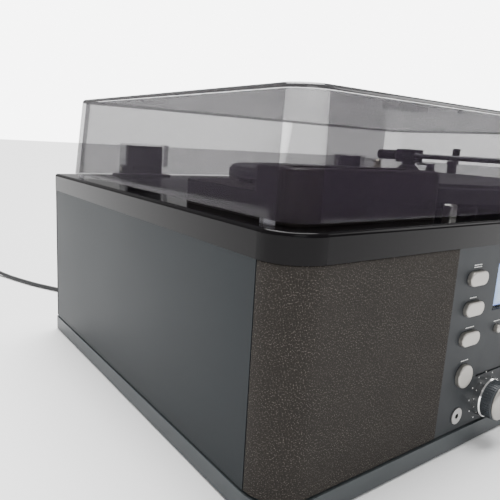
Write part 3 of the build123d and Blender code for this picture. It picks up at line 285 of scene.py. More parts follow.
def feltPaint(name, colour):
    p = Paint(name)
    fuzz = p.noise(p.coords(), 1500.0, 4.0, 0.7)
    cloud = p.noise(p.coords(), 25.0)
    return p.finish(
        Base_Color=p.blend(fuzz * 0.7 + cloud * 0.3, tint(colour, 0.7), tint(colour, 1.35)),
        Roughness=0.9,
        Normal=p.bump(fuzz, 0.35, 0.0005),
        Sheen_Weight=0.25,
    )


def clearSheet(name, colour, body, grazing, rough=0.03, rimShade=None):
    # see-through moulding: the surface veils more at a slant than face on
    p = Paint(name)
    slant = p.add("ShaderNodeLayerWeight", None, {"Blend": 0.35}, out="Fresnel")
    haze = p.noise(p.coords(), 30.0, 3.0)
    veil = slant * grazing + body
    shade = p.blend(haze, tint(colour, 0.94), tint(colour, 1.05))
    # painted shade: a dark, near-opaque band along the lid's top edge, standing in for the sheet seen edge
    # on
    if rimShade:
        edge = rimShadeMask(p, rimShade)
        veil = veil.math("MAXIMUM", edge * rimShade["alpha"])
        shade = p.blend(edge, shade, tint(colour, 0.12))
    return p.finish(
        Base_Color=shade,
        Alpha=veil,
        Roughness=rough + haze * 0.03,
        Specular_IOR_Level=0.5,
    )


def rimShadeMask(p, rimShade):
    # one along the top edge of the lid, where the sheet is seen edge on; this band is painted shade, darker
    # and near opaque
    low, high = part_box("dust_cover")
    x, y, z = p.split(p.coords())
    half = ((high.x - low.x) / 2 - rimShade["slope"], (high.y - low.y) / 2 - rimShade["slope"])
    middle = ((high.x + low.x) / 2, (high.y + low.y) / 2)
    far = [(v - m).math("ABSOLUTE") - (h - rimShade["corner"]) for v, m, h in zip((x, y), middle, half)]
    out = [v.math("MAXIMUM", 0.0) for v in far]
    reach = (out[0] ** 2.0 + out[1] ** 2.0).math("SQRT")
    reach = reach + far[0].math("MAXIMUM", far[1]).math("MINIMUM", 0.0)
    return (reach > rimShade["corner"] - rimShade["width"]) * (z > high.z - rimShade["height"])


def litFace(name):
    # cold-light display: white-blue in the middle, deeper blue towards its edges
    low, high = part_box("display_module")
    p = Paint(name)
    x, _, z = p.split(p.coords())
    halfX = (high.x - low.x) / 2
    halfZ = (high.z - low.z) / 2
    fromX = ((x - (low.x + high.x) / 2) / halfX).math("ABSOLUTE")
    fromZ = ((z - (low.z + high.z) / 2) / halfZ).math("ABSOLUTE")
    edge = fromX.math("MAXIMUM", fromZ) ** 7.0
    lamp = p.noise(p.coords(), 60.0)
    glow = p.blend(edge * (0.8 + lamp * 0.3), (0.68, 0.86, 1.0), (0.05, 0.2, 0.95))
    return p.finish(
        Base_Color=(0.3, 0.4, 0.5),
        Emission_Color=glow,
        Emission_Strength=1.5,
        Roughness=0.4,
    )


# the painted shade band along the lid's top edge: how opaque it is and where it lies
lidRimShade = {
    "alpha": 0.965,
    "slope": 7.0 * mm,      # how far the lid's top edge stands in from its widest outline
    "corner": 14 * mm,
    "width": 1.6 * mm,
    "height": 3.0 * mm,
}
paints = {
    "side_foil": sideFoil("sideFoilPaint", (0.0125, 0.016, 0.0185)),
    "base_plastic": mouldedPlastic("basePlasticPaint", (0.045, 0.052, 0.056), rough=0.42),
    "foot_rubber": rubber("footRubberPaint", (0.02, 0.02, 0.02)),
    "rear_board": board("rearBoardPaint", (0.02, 0.02, 0.022)),
    "plated_steel": brushedMetal("platedSteelPaint", (0.72, 0.66, 0.54), rough=0.24),
    "terminal_plastic": mouldedPlastic("terminalPlasticPaint", (0.03, 0.03, 0.032), rough=0.4),
    "baffle_board": board("baffleBoardPaint", (0.22, 0.15, 0.09)),
    "driver_steel": mouldedPlastic("driverSteelPaint", (0.03, 0.03, 0.03), rough=0.35),
    "cone_paper": feltPaint("conePaperPaint", (0.04, 0.04, 0.042)),
    "grille_cloth": clothPaint("grilleClothPaint", (0.036, 0.031, 0.0265)),
    "panel_plastic": mouldedPlastic("panelPlasticPaint", (0.016, 0.0185, 0.021), rough=0.5,
                                    grain=1200.0, depth=0.06, gloss=0.2),
    "display_glass": clearSheet("displayGlassPaint", (0.02, 0.03, 0.05), body=0.1, grazing=0.25),
    "display_face": litFace("displayFacePaint"),
    "socket_metal": brushedMetal("socketMetalPaint", (0.35, 0.34, 0.33)),
    "button_silver": brushedMetal("buttonSilverPaint", (0.36, 0.345, 0.32), rough=0.38,
                                  along=(1, 1, 0.03), metal=0.75),
    "knob_chrome": brushedMetal("knobChromePaint", (0.86, 0.86, 0.85), rough=0.1),
    "knob_grey": mouldedPlastic("knobGreyPaint", (0.05, 0.056, 0.062), rough=0.35,
                                depth=0.04, wear=0.2),
    "hub_plastic": mouldedPlastic("hubPlasticPaint", (0.05, 0.05, 0.05), rough=0.4),
    "deck_gloss": mouldedPlastic("deckGlossPaint", (0.004, 0.0035, 0.004), rough=0.1,
                                 grain=300.0, depth=0.004, wear=0.5, gloss=0.09),
    "platter_paint": mouldedPlastic("platterPaint", (0.05, 0.05, 0.054), rough=0.4,
                                    grain=1500.0, depth=0.08),
    "mat_felt": feltPaint("matFeltPaint", (0.075, 0.075, 0.078)),
    "motor_steel": brushedMetal("motorSteelPaint", (0.5, 0.5, 0.5), rough=0.35),
    "pulley_brass": brushedMetal("pulleyBrassPaint", (0.75, 0.55, 0.25), rough=0.25),
    "belt_rubber": rubber("beltRubberPaint", (0.012, 0.012, 0.012)),
    "housing_plastic": mouldedPlastic("housingPlasticPaint", (0.015, 0.0105, 0.009), rough=0.38,
                                      grain=1100.0, gloss=0.2),
    "switch_silver": brushedMetal("switchSilverPaint", (0.66, 0.65, 0.62), rough=0.35),
    "arm_black": mouldedPlastic("armBlackPaint", (0.022, 0.022, 0.024), rough=0.3,
                                grain=800.0, depth=0.04, wear=0.3),
    "arm_metal": brushedMetal("armMetalPaint", (0.2, 0.2, 0.21), rough=0.32, along=(1, 0.05, 1)),
    "weight_steel": mouldedPlastic("weightSteelPaint", (0.03, 0.03, 0.032), rough=0.28, wear=0.3),
    "smoked_acrylic": clearSheet("smokedAcrylicPaint", (0.032, 0.024, 0.036), body=0.23,
                                 grazing=0.5, rimShade=lidRimShade),
    "clear_plastic": clearSheet("clearPlasticPaint", (0.42, 0.41, 0.45), body=0.2, grazing=0.5,
                                rough=0.08),
    "hinge_plastic": mouldedPlastic("hingePlasticPaint", (0.018, 0.018, 0.02), rough=0.35),
    "circuit_board": mouldedPlastic("circuitBoardPaint", (0.03, 0.14, 0.06), rough=0.3),
    "cord_rubber": rubber("cordRubberPaint", (0.014, 0.014, 0.015)),
}
markPaint = mouldedPlastic("printedMarkPaint", (0.7, 0.7, 0.68), rough=0.5, grain=1500.0, depth=0.02)

for row in frame["record"]["subparts"]:
    piece = cadParts[row["node"]]
    piece.data.materials.clear()
    piece.data.materials.append(paints[row["material_slot"]])


def addPiece(name, mesh, body, paintSlot, stands=(), paint=None):
    thing = bpy.data.objects.new(name, mesh)
    bpy.context.collection.objects.link(thing)
    if not mesh.materials:
        mesh.materials.append(paint or paints[paintSlot])
    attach(thing, body)
    if stands:
        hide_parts(*stands)
    return thing


def meshFrom(name, build):
    work = bmesh.new()
    build(work)
    bmesh.ops.recalc_face_normals(work, faces=work.faces)
    mesh = bpy.data.meshes.new(name)
    work.to_mesh(mesh)
    work.free()
    return mesh


print("mains cord")
cordSet = {
    "behind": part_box("rear_panel")[1].y,
    # lengths and points below are in mm: across, back from the rear board, and up
    "diameter": 5.0,
    "toCoil": [
        (-130, 30, 26), (-130, 46, 26), (-126, 64, 19.5), (-116, 80, 10.5), (-100, 91, 4.4),
        (-78, 96.5, 2.6), (-52, 98, 2.5), (-25, 97.4, 2.5), (0, 96.5, 2.5),
    ],
    "toPlug": [
        (-14, 36.5, 2.5), (-42, 40, 2.5), (-70, 41, 2.5), (-100, 45.5, 2.5), (-128, 54, 2.5),
        (-154, 68, 2.5), (-177, 88, 2.5), (-196, 113, 2.5), (-212, 141, 2.5), (-228, 171, 2.5),
        (-241, 203, 2.5), (-252, 235, 2.5), (-260, 258, 4.4), (-269, 279, 7), (-278.5, 298.5, 7),
    ],
    "coilMid": (12, 66),
    "innerTurn": 25.5,
    "layers": 3,
    "stepsPerTurn": 16,
    # shares of a turn
    "crossing": 0.25,       # to move from one column to the other
    "climb": (0.15, 0.1),       # before and after a full turn, to move up or down a layer
    "lastDrop": (0.3, 0.05),      # before the end
    "length": 1.6,          # metres
}


def ease(value, start, end):
    return min(1.0, max(0.0, (value - start) / (end - start)))


def coilPoints(s):
    # in at the back, up the inner column, down the outer one, and out at the front
    layers, wide, crossing = s["layers"], s["diameter"], s["crossing"]
    before, after = s["climb"]
    dropStart, dropEnd = s["lastDrop"]
    turns = 2 * layers - 0.5
    points = []
    for step in range(1, int(turns * s["stepsPerTurn"]) + 1):
        t = step / s["stepsPerTurn"]
        inward, outward = ease(t, 0, crossing), ease(t, layers, layers + crossing)
        reach = s["innerTurn"] + wide * (1 - inward + outward)
        climb = sum(ease(t, k - before, k + after) for k in range(1, layers))
        for k in range(layers + 1, 2 * layers - 1):
            climb -= ease(t, k - before, k + after)
        climb -= ease(t, turns - dropStart, turns - dropEnd)
        angle = pi / 2 - 2 * pi * t
        across, back = s["coilMid"]
        up = wide / 2 + wide * climb
        points.append((across + reach * cos(angle), back + reach * sin(angle), up))
    return points


def addCord(s):
    def spot(point):
        return (point[0] * mm, s["behind"] + point[1] * mm, point[2] * mm)

    points = [spot(p) for p in s["toCoil"] + coilPoints(s) + s["toPlug"]]
    data = bpy.data.curves.new("mainsCord", "CURVE")
    data.dimensions = "3D"
    data.bevel_depth = s["diameter"] / 2 * mm
    data.bevel_resolution = 4
    data.resolution_u = 6
    data.use_fill_caps = True
    line = data.splines.new("NURBS")
    line.points.add(len(points) - 1)
    for knot, place in zip(line.points, points):
        knot.co = (*place, 1)
    line.order_u = 3
    line.use_endpoint_u = True
    data.materials.append(paints["cord_rubber"])
    lead = bpy.data.objects.new("mainsCord", data)
    bpy.context.collection.objects.link(lead)
    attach(lead, "cabinet")
    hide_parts("power_cord", "cord_coil")
    spot(s["toCoil"][0])


addCord(cordSet)


class Plan(Maker):
    # a geometry tree with named inputs; grow() runs it and returns a plain mesh
    def __init__(self, name, sizes):
        self.tree = bpy.data.node_groups.new(name, "GeometryNodeTree")
        self.begin(self.tree)
        self.sizes = sizes
        face = self.tree.interface
        face.new_socket(name="Geometry", in_out="OUTPUT", socket_type="NodeSocketGeometry")
        self.keys = {}
        for key, value in sizes.items():
            kind = "NodeSocketInt" if isinstance(value, int) else "NodeSocketFloat"
            self.keys[key] = face.new_socket(name=key, in_out="INPUT", socket_type=kind).identifier
        self.source = self.nodes.new("NodeGroupInput")

    def size(self, key):
        return Wire(self, self.source.outputs[key])

    def vector(self, x=0.0, y=0.0, z=0.0):
        return self.add("ShaderNodeCombineXYZ", None, {"X": x, "Y": y, "Z": z})

    def joined(self, *parts):
        node = self.nodes.new("GeometryNodeJoinGeometry")
        for part in parts:
            self.links.new(part.socket, node.inputs[0])
        return Wire(self, node.outputs[0])

    def moved(self, geometry, place=(0, 0, 0), turn=(0, 0, 0)):
        sockets = {"Geometry": geometry, "Translation": place, "Rotation": turn}
        return self.add("GeometryNodeTransform", None, sockets)

    def scattered(self, points, instance, turn=(0, 0, 0)):
        sockets = {"Points": points, "Instance": instance, "Rotation": turn}
        return self.add("GeometryNodeInstanceOnPoints", None, sockets)

    def grow(self, geometry, material):
        real = self.add("GeometryNodeRealizeInstances", None, {"Geometry": geometry})
        done = self.add("GeometryNodeSetMaterial", None, {"Geometry": real, "Material": material})
        sink = self.nodes.new("NodeGroupOutput")
        self.links.new(done.socket, sink.inputs[0])
        name = self.tree.name
        holder = bpy.data.objects.new(name, bpy.data.meshes.new(name + "Seed"))
        bpy.context.collection.objects.link(holder)
        modifier = holder.modifiers.new("grow", "NODES")
        modifier.node_group = self.tree
        for key, value in self.sizes.items():
            modifier[self.keys[key]] = value
        bpy.context.view_layer.update()
        ready = holder.evaluated_get(bpy.context.evaluated_depsgraph_get())
        mesh = bpy.data.meshes.new_from_object(ready)
        mesh.name = name
        bpy.data.objects.remove(holder)
        return mesh


print("grille cloths")
clothSet = {
    "cornerRadius": 25.4 * mm,
    "thickness": 0.7 * mm,
    "edgeRoll": 1.2 * mm,      # how far the cloth turns in at its edges
    "rollSteps": 4,
    "step": 4 * mm,
}


def addCloth(s, side):
    node = "grille_cloth_left" if side < 0 else "grille_cloth_right"
    low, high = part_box(node)
    radius, roll = s["cornerRadius"], s["edgeRoll"]
    outer = low.x if side < 0 else high.x
    inner = high.x if side < 0 else low.x
    bend = radius * pi / 2
    straight = abs(outer - inner) - radius
    along = bend + straight
    tall = high.z - low.z

    def spread(full):
        # stations close together in the rolled edges, then even
        edge = [roll * (1 - cos(pi / 2 * k / s["rollSteps"])) for k in range(s["rollSteps"] + 1)]
        count = int((full - 2 * roll) / s["step"])
        middle = [roll + (full - 2 * roll) * k / count for k in range(1, count)]
        return edge + middle + [full - e for e in reversed(edge)]

    def sink(distance, full):
        near = min(distance, full - distance)
        if near >= roll:
            return 0.0
        return roll - (roll * roll - (roll - near) ** 2) ** 0.5

    def place(a, z):
        deep = min(sink(a, along) + sink(z, tall), roll)
        if a < bend:
            angle = a / radius
            reach = radius - deep
            x = outer - side * (radius - reach * cos(angle))
            y = low.y + radius - reach * sin(angle)
        else:
            x = outer - side * (radius + a - bend)
            y = low.y + deep
        return Vector((x, y, low.z + z))

    stations, heights = spread(along), spread(tall)

    def build(work):
        uv = work.loops.layers.uv.new("cloth")
        grid = [[work.verts.new(place(a, z)) for z in heights] for a in stations]
        for i in range(len(stations) - 1):
            for j in range(len(heights) - 1):
                ring = [(i, j), (i + 1, j), (i + 1, j + 1), (i, j + 1)]
                face = work.faces.new([grid[p][q] for p, q in ring])
                face.smooth = True
                for loop, (p, q) in zip(face.loops, ring):
                    loop[uv].uv = (stations[p], heights[q])

    work = bmesh.new()
    build(work)
    work.normal_update()
    if sum(f.normal.y for f in work.faces) > 0:
        bmesh.ops.reverse_faces(work, faces=work.faces)
    mesh = bpy.data.meshes.new("grilleCloth" + ("Left" if side < 0 else "Right"))
    work.to_mesh(mesh)
    work.free()
    cloth = addPiece(mesh.name, mesh, "cabinet", "grille_cloth", [node])
    wall = cloth.modifiers.new("thickness", "SOLIDIFY")
    wall.thickness = s["thickness"]
    wall.offset = -1


for side in (-1, 1):
    addCloth(clothSet, side)


def lathe(work, profile, centre, axis="Z", steps=64):
    # profile is (radius, distance along the axis); a radius of 0 closes the end
    rings = []
    for radius, along in profile:
        count = 1 if radius == 0 else steps
        ring = []
        for k in range(count):
            angle = 2 * pi * k / steps
            u, v = radius * cos(angle), radius * sin(angle)
            spot = (u, v, along) if axis == "Z" else (u, along, v)
            ring.append(work.verts.new(Vector(spot) + Vector(centre)))
        rings.append(ring)
    for first, second in zip(rings, rings[1:]):
        for k in range(steps):
            around = [first[k % len(first)], first[(k + 1) % len(first)]]
            around += [second[(k + 1) % len(second)], second[k % len(second)]]
            corners = list(dict.fromkeys(around))
            work.faces.new(corners).smooth = True


print("knobs")
knobSet = {
    "bodyRadius": 13.6 * mm,
    "capRadius": 13.2 * mm,
    "capEdge": 3.0 * mm,
    "domeRise": 1.7 * mm,
    "shaftRadius": 3.0 * mm,
    "ribs": 44,
    "ribRadius": 0.42 * mm,
    "ribMargin": 2.4 * mm,      # how much shorter the ribs are than the body's side
    "panelGap": 0.35 * mm,
    "chamfer": 0.5 * mm,
    "shoulder": 0.6 * mm,
    "domeInset": 0.9 * mm,
    "domeSteps": 10,
    "capSink": 0.05 * mm,
}


def addKnob(s, node):
    low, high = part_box(node)
    mid = midOf(node)
    centre = (mid.x, 0, mid.z)
    front, back = low.y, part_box("control_panel")[0].y - s["panelGap"]
    capBack = front + s["capEdge"]
    shoulder = s["shoulder"]
    name = node.replace("_knob", "Knob")

    def body(work):
        r, shaft, chamfer = s["bodyRadius"], s["shaftRadius"], s["chamfer"]
        lathe(work, [
            (0, high.y), (shaft, high.y), (shaft, back), (r - chamfer, back), (r, back - chamfer),
            (r, capBack + shoulder), (r - shoulder, capBack), (0, capBack),
        ], centre, "Y")

    def cap(work):
        r, rise = s["capRadius"], s["domeRise"]
        edge, rear = front + rise, capBack - s["capSink"]
        dome = [(r - shoulder, edge)]
        for k in range(1, s["domeSteps"]):
            angle = pi / 2 * k / s["domeSteps"]
            dome.append(((r - s["domeInset"]) * cos(angle), edge - rise * sin(angle)))
        side = [(0, rear), (r, rear), (r, edge + shoulder)]
        lathe(work, side + dome + [(0, front)], centre, "Y")

    addPiece(name + "Body", meshFrom(name + "Body", body), node, "knob_grey", [node])
    addPiece(name + "Cap", meshFrom(name + "Cap", cap), node, "button_silver")
    plan = Plan(name + "Grip", {
        "Radius": s["bodyRadius"], "Ribs": s["ribs"], "Rib Radius": s["ribRadius"],
        "Length": back - capBack - s["ribMargin"],
    })
    ring = plan.add("GeometryNodeMeshCircle", None, {
        "Vertices": plan.size("Ribs"), "Radius": plan.size("Radius")})
    rib = plan.add("GeometryNodeMeshCylinder", None, {
        "Vertices": 8, "Radius": plan.size("Rib Radius"), "Depth": plan.size("Length")})
    turned = plan.moved(plan.scattered(ring, rib), (mid.x, (back + capBack) / 2, mid.z), (pi / 2, 0, 0))
    addPiece(name + "Grip", plan.grow(turned, paints["knob_grey"]), node, "knob_grey")


for node in ("volume_knob", "jog_knob"):
    addKnob(knobSet, node)


print("platter mat")
matSet = {"rings": 30, "stepsPerRing": 4, "groove": 0.35 * mm, "around": 180, "holeRadius": 4.1 * mm}


def addMat(s):
    low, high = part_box("platter_mat")
    mid = midOf("platter_mat")
    steps = s["rings"] * s["stepsPerRing"]
    plan = Plan("ribbedMat", {
        "Radius": (high.x - low.x) / 2, "Hole": s["holeRadius"], "Bottom": low.z, "Top": high.z,
        "Rings": s["rings"], "Groove": s["groove"], "Around": s["around"],
    })
    # a flat grid is wrapped round: its x runs along the section, its y round the spindle
    grid = plan.add("GeometryNodeMeshGrid", None, {
        "Size X": 1.0, "Size Y": 1.0, "Vertices X": steps + 4, "Vertices Y": plan.size("Around")})
    x, y, _ = plan.split(plan.add("GeometryNodeInputPosition"))
    station = ((x + 0.5) * (steps + 3.0)).math("ROUND")
    share = ((station - 1.0) / float(steps)).math("MAXIMUM", 0.0).math("MINIMUM", 1.0)
    onTop = (station > 0.5) * (station < steps + 1.5)
    closing = station > steps + 2.5
    reach = plan.size("Hole") + (plan.size("Radius") - plan.size("Hole")) * share * (1 - closing)
    wave = (share * plan.size("Rings") * (2 * pi)).math("COSINE") * 0.5 - 0.5
    bottom, top = plan.size("Bottom"), plan.size("Top")
    height = bottom + (top - bottom + wave * plan.size("Groove")) * onTop
    angle = (y + 0.5) * (2 * pi)
    spot = plan.vector(reach * angle.math("COSINE") + mid.x, reach * angle.math("SINE") + mid.y, height)
    wrapped = plan.add("GeometryNodeSetPosition", None, {"Geometry": grid, "Position": spot})
    shut = plan.add("GeometryNodeMergeByDistance", None, {"Geometry": wrapped, "Distance": 0.01 * mm})
    mesh = plan.grow(shut, paints["mat_felt"])
    work = bmesh.new()
    work.from_mesh(mesh)
    bmesh.ops.recalc_face_normals(work, faces=work.faces)
    work.to_mesh(mesh)
    work.free()
    addPiece("ribbedMat", mesh, "platter", "mat_felt", ["platter_mat"])


addMat(matSet)


print("screws")
screwSet = {"headRadius": 3.6 * mm, "topRadius": 2.7 * mm, "head": 2.0 * mm, "shankRadius": 1.4 * mm,
            "shank": 17 * mm, "slot": 0.8 * mm, "slotLength": 3.6 * mm, "slotDepth": 1.1 * mm,
            "columns": 2, "rows": 3}


def addScrews(s):
    low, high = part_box("rear_screws")
    plan = Plan("crossHeadScrews", {
        "Width": high.x - low.x - 2 * s["headRadius"], "Height": high.z - low.z - 2 * s["headRadius"],
        "Head Radius": s["headRadius"], "Top Radius": s["topRadius"], "Head": s["head"],
        "Shank Radius": s["shankRadius"], "Shank": s["shank"], "Slot": s["slot"],
        "Slot Length": s["slotLength"], "Slot Depth": s["slotDepth"],
    })
    places = plan.add("GeometryNodeMeshGrid", None, {
        "Size X": plan.size("Width"), "Size Y": plan.size("Height"),
        "Vertices X": s["columns"], "Vertices Y": s["rows"]})
    head = plan.add("GeometryNodeMeshCone", None, {
        "Vertices": 28, "Radius Top": plan.size("Top Radius"), "Radius Bottom": plan.size("Head Radius"),
        "Depth": plan.size("Head")})
    cuts = []
    for across in (True, False):
        long, short = plan.size("Slot Length"), plan.size("Slot")
        size = plan.vector(long if across else short, short if across else long, plan.size("Slot Depth") * 2)
        cuts.append(plan.moved(plan.add("GeometryNodeMeshCube", None, {"Size": size}),
                               plan.vector(z=plan.size("Head"))))
    drive = plan.nodes.new("GeometryNodeMeshBoolean")
    drive.operation = "DIFFERENCE"
    plan.links.new(head.socket, drive.inputs["Mesh 1"])
    for cut in cuts:
        plan.links.new(cut.socket, drive.inputs["Mesh 2"])
    shank = plan.add("GeometryNodeMeshCylinder", None, {
        "Vertices": 12, "Radius": plan.size("Shank Radius"), "Depth": plan.size("Shank")})
    shank = plan.moved(shank, plan.vector(z=plan.size("Shank") * -0.5))
    screw = plan.joined(Wire(plan, drive.outputs[0]), shank)
    rows = plan.scattered(places, screw)
    mid = midOf("rear_screws")
    stood = plan.moved(rows, (mid.x, high.y - s["head"], mid.z), (-pi / 2, 0, 0))
    mesh = plan.grow(stood, paints["plated_steel"])
    addPiece("crossHeadScrews", mesh, "cabinet", "plated_steel", ["rear_screws"])


addScrews(screwSet)


print("ribs and rings")
ribSet = {"count": 7, "pitch": 1.5 * mm, "radius": 0.35 * mm, "length": 18 * mm, "sink": 0.05 * mm}
ringSet = {"count": 5, "pitch": 2.2 * mm, "minor": 0.28 * mm, "reach": 6.25 * mm}
dotSet = {"count": 11, "reach": 18.2 * mm, "radius": 0.55 * mm, "thick": 0.14 * mm,
          "from": -60, "to": 240}      # degrees


def addKeyRibs(s):
    mid, high = midOf("cassette_key"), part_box("cassette_key")[1]
    plan = Plan("keyRibs", {"Count": s["count"], "Pitch": s["pitch"], "Rib Radius": s["radius"],
                            "Length": s["length"]})
    line = plan.add("GeometryNodeMeshLine", {"mode": "OFFSET"}, {
        "Count": plan.size("Count"), "Offset": plan.vector(y=plan.size("Pitch"))})
    rib = plan.add("GeometryNodeMeshCylinder", None, {
        "Vertices": 10, "Radius": plan.size("Rib Radius"), "Depth": plan.size("Length")})
    rows = plan.scattered(line, rib, (0, pi / 2, 0))
    start = mid.y - s["pitch"] * (s["count"] - 1) / 2
    mesh = plan.grow(plan.moved(rows, (mid.x, start, high.z - s["sink"])), paints["housing_plastic"])
    addPiece("keyRibs", mesh, "cassette_key", "housing_plastic")


def addWeightRings(s):
    mid = midOf("counterweight")
    plan = Plan("weightRings", {
        "Count": s["count"], "Pitch": s["pitch"], "Reach": s["reach"], "Minor": s["minor"]})
    line = plan.add("GeometryNodeMeshLine", {"mode": "OFFSET"}, {
        "Count": plan.size("Count"), "Offset": plan.vector(z=plan.size("Pitch"))})
    path = plan.add("GeometryNodeCurvePrimitiveCircle", None, {
        "Resolution": 40, "Radius": plan.size("Reach")})
    wire = plan.add("GeometryNodeCurvePrimitiveCircle", None, {
        "Resolution": 8, "Radius": plan.size("Minor")})
    ring = plan.add("GeometryNodeCurveToMesh", None, {"Curve": path, "Profile Curve": wire})
    rows = plan.scattered(line, ring)
    start = mid.y + s["pitch"] * (s["count"] - 1) / 2
    mesh = plan.grow(plan.moved(rows, (mid.x, start, mid.z), (pi / 2, 0, 0)), paints["arm_metal"])
    addPiece("weightRings", mesh, "tonearm", "arm_metal")


def addVolumeDots(s):
    mid, panel = midOf("volume_knob"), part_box("control_panel")[0].y
    plan = Plan("volumeDots", {"Count": s["count"], "Reach": s["reach"], "Dot Radius": s["radius"],
                               "Thick": s["thick"]})
    line = plan.add("GeometryNodeMeshLine", {"mode": "OFFSET"}, {
        "Count": plan.size("Count"), "Offset": (1, 0, 0)})
    index, _, _ = plan.split(plan.add("GeometryNodeInputPosition"))
    sweep = radians(s["to"] - s["from"]) / (s["count"] - 1)
    angle = index * sweep + radians(s["from"])
    reach = plan.size("Reach")
    arc = plan.add("GeometryNodeSetPosition", None, {
        "Geometry": line,
        "Position": plan.vector(reach * angle.math("COSINE"), reach * angle.math("SINE"))})
    dot = plan.add("GeometryNodeMeshCylinder", None, {
        "Vertices": 16, "Radius": plan.size("Dot Radius"), "Depth": plan.size("Thick")})
    dots = plan.moved(plan.scattered(arc, dot), (mid.x, panel, mid.z), (pi / 2, 0, 0))
    mesh = plan.grow(dots, markPaint)
    addPiece("volumeDots", mesh, "cabinet", "button_silver", paint=markPaint)


addKeyRibs(ribSet)
addWeightRings(ringSet)
addVolumeDots(dotSet)


print("marks and display")
markSet = {
    "thick": 0.06 * mm,
    "lineHeight": 0.55 * mm,
    "linePitch": 1.5 * mm,
    "above": 1.2 * mm,        # from the button's top to the lowest line
    "start": -4.5 * mm,       # from the button's middle
    "end": 3.5 * mm,
    "wordLengths": (0.7, 2.4),      # shortest and longest, in mm
    "wordGap": 0.5 * mm,
    "seed": 4,
}
digitSet = {
    "height": 15 * mm,
    "width": 7.5 * mm,
    "stroke": 2.0 * mm,
    "pitch": 12 * mm,
    "inset": 2 * mm,
    "thick": 0.1 * mm,
    "gap": 0.1 * mm,          # left at each end of a stroke
    "slant": 0.1,
    "colonInset": 3 * mm,
    "colonHeights": (0.3, 0.7),
}
segments = {"0": "abcdef", "2": "abdeg", "5": "acdfg"}


def addBox(work, low, high):
    corners = [work.verts.new((x, y, z)) for x in (low[0], high[0]) for y in (low[1], high[1])
               for z in (low[2], high[2])]
    for side in ((0, 1, 3, 2), (4, 6, 7, 5), (0, 4, 5, 1), (2, 3, 7, 6), (0, 2, 6, 4), (1, 5, 7, 3)):
        work.faces.new([corners[k] for k in side])


def addLabels(s):
    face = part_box("control_panel")[0].y
    draw = random.Random(s["seed"])

    def build(work):
        for node in ("source_button", "disc_button", "radio_button", "play_button", "stop_button",
                     "skip_button", "record_button", "power_button", "display_button"):
            mid, high = midOf(node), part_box(node)[1]
            for line in range(2 if node == "source_button" else 1):
                z = high.z + s["above"] + line * s["linePitch"]
                x = mid.x + s["start"]
                while x < mid.x + s["end"]:
                    wide = draw.uniform(*s["wordLengths"]) * mm
                    addBox(work, (x, face - s["thick"], z), (x + wide, face, z + s["lineHeight"]))
                    x += wide + s["wordGap"]

    addPiece("labelMarks", meshFrom("labelMarks", build), "cabinet", "button_silver", paint=markPaint)


def addDigits(s, text="00:25"):
    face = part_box("display_module")[0].y
    mid = midOf("display_module")
    w, h, t, gap = s["width"], s["height"], s["stroke"], s["gap"]
    # each stroke's left, bottom, right and top, lettered clockwise from the top one
    bars = {
        "a": (t, h - t, w - t, h),
        "b": (w - t, h / 2, w, h - t / 2),
        "c": (w - t, t / 2, w, h / 2),
        "d": (t, 0, w - t, t),
        "e": (0, t / 2, t, h / 2),
        "f": (0, h / 2, t, h - t / 2),
        "g": (t, (h - t) / 2, w - t, (h + t) / 2),
    }

    def build(work):
        left = mid.x - s["pitch"] * len(text) / 2
        for place, glyph in enumerate(text):
            x0, z0 = left + place * s["pitch"] + s["inset"], mid.z - h / 2
            if glyph == ":":
                x = x0 + s["colonInset"]
                for share in s["colonHeights"]:
                    z = z0 + h * share
                    addBox(work, (x, face - s["thick"], z - t / 2), (x + t, face, z + t / 2))
                continue
            for key in segments[glyph]:
                a, b, c, d = bars[key]
                addBox(work, (x0 + a + gap, face - s["thick"], z0 + b + gap),
                       (x0 + c - gap, face, z0 + d - gap))
        for vert in work.verts:
            vert.co.x += (vert.co.z - mid.z) * s["slant"]

    ink = mouldedPlastic("displayInkPaint", (0.01, 0.02, 0.09), rough=0.4)
    addPiece("displayDigits", meshFrom("displayDigits", build), "cabinet", "display_face", paint=ink)


addLabels(markSet)
addDigits(digitSet)


print("line sockets")
insertSet = {"spacing": 22 * mm, "outer": 3.1 * mm, "inner": 1.75 * mm, "deep": 3 * mm,
             "proud": 0.25 * mm, "steps": 36}


def addInserts(s):
    mid, high = midOf("rear_terminals"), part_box("rear_terminals")[1]
    hues = {"White": (0.75, 0.75, 0.72), "Red": (0.5, 0.02, 0.02)}
    inner, outer = s["inner"], s["outer"]
    start, end = high.y - s["deep"], high.y + s["proud"]
    for shift, (hue, colour) in enumerate(hues.items()):
        def build(work):
            # four sockets in a row, white and red by turns
            for pair in (-1.5, 0.5):
                centre = (mid.x + (pair + shift) * s["spacing"], 0, mid.z)
                loop = [(inner, start), (outer, start), (outer, end), (inner, end), (inner, start)]
                lathe(work, loop, centre, "Y", s["steps"])
            bmesh.ops.remove_doubles(work, verts=work.verts, dist=0.001 * mm)

        paint = mouldedPlastic("insert" + hue + "Paint", colour, rough=0.3)
        name = "socketInserts" + hue
        addPiece(name, meshFrom(name, build), "cabinet", "terminal_plastic", paint=paint)


addInserts(insertSet)


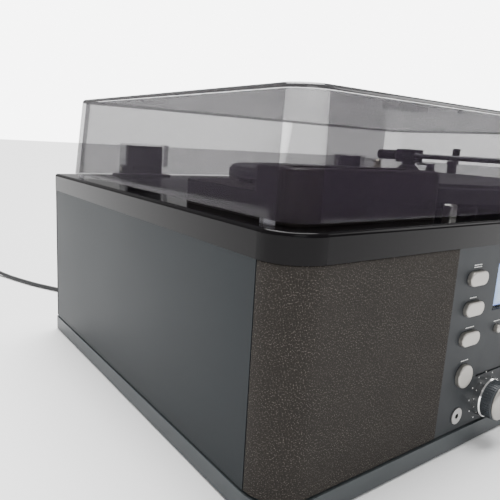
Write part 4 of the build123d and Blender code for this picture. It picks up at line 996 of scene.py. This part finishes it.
print("floor and light")
lightSet = {
    "seen": 7.0,          # how bright the backdrop looks, which lights nothing
    "front": 0.2,         # the sky's light from the front and below
    "behind": 0.55,       # the sky's light from behind and above
    "floorColour": (0.9, 0.9, 0.9),
    "floorSize": 12.0,
    "floorDrop": 0.4 * mm,
    "lamps": [
        # place, size, power
        ((-0.9, -1.6, 1.2), 0.9, 9.0),
        ((1.4, -0.8, 1.1), 0.8, 6.0),
    ],
    "aim": (0, 0, 0.1),
    "sun": 9.0,
    "sunAngle": 50,       # degrees across, for a soft shadow
    "sunTilt": (-14, 8),      # degrees about x and y
}


def addFloor(s):
    def build(work):
        bmesh.ops.create_grid(work, x_segments=2, y_segments=2, size=s["floorSize"])

    mesh = meshFrom("floor", build)
    p = Paint("floorPaint")
    cloud = p.noise(p.coords(), 3.0)
    shade = p.blend(cloud, tint(s["floorColour"], 0.985), s["floorColour"])
    mesh.materials.append(p.finish(Base_Color=shade, Roughness=0.75))
    floor = bpy.data.objects.new("floor", mesh)
    floor.location.z = -s["floorDrop"]
    bpy.context.collection.objects.link(floor)


def addLights(s):
    world = bpy.data.worlds.new("softSky")
    bpy.context.scene.world = world
    world.use_nodes = True
    sky = Maker()
    sky.begin(world.node_tree)
    back = sky.nodes["Background"]
    _, y, z = sky.split(sky.add("ShaderNodeTexCoord", out="Generated"))
    share = ((y * 0.5 + z * 0.7 + 0.5).math("MAXIMUM", 0.0)).math("MINIMUM", 1.0)
    soft = share * (s["behind"] - s["front"]) + s["front"]
    seen = sky.add("ShaderNodeLightPath", out="Is Camera Ray")
    sky.put(back.inputs["Color"], (1.0, 1.0, 1.0))
    sky.put(back.inputs["Strength"], seen * (s["seen"] - soft) + soft)
    high = bpy.data.lights.new("softSun", "SUN")
    high.energy = s["sun"]
    high.angle = radians(s["sunAngle"])
    sun = bpy.data.objects.new("softSun", high)
    sun.rotation_euler = (radians(s["sunTilt"][0]), radians(s["sunTilt"][1]), 0)
    bpy.context.collection.objects.link(sun)
    for index, (place, size, power) in enumerate(s["lamps"]):
        data = bpy.data.lights.new(f"softLamp{index}", "AREA")
        data.size = size
        data.energy = power
        lamp = bpy.data.objects.new(f"softLamp{index}", data)
        away = Vector(s["aim"]) - Vector(place)
        lamp.location = place
        lamp.rotation_euler = away.to_track_quat("-Z", "Y").to_euler()
        bpy.context.collection.objects.link(lamp)


addFloor(lightSet)
addLights(lightSet)
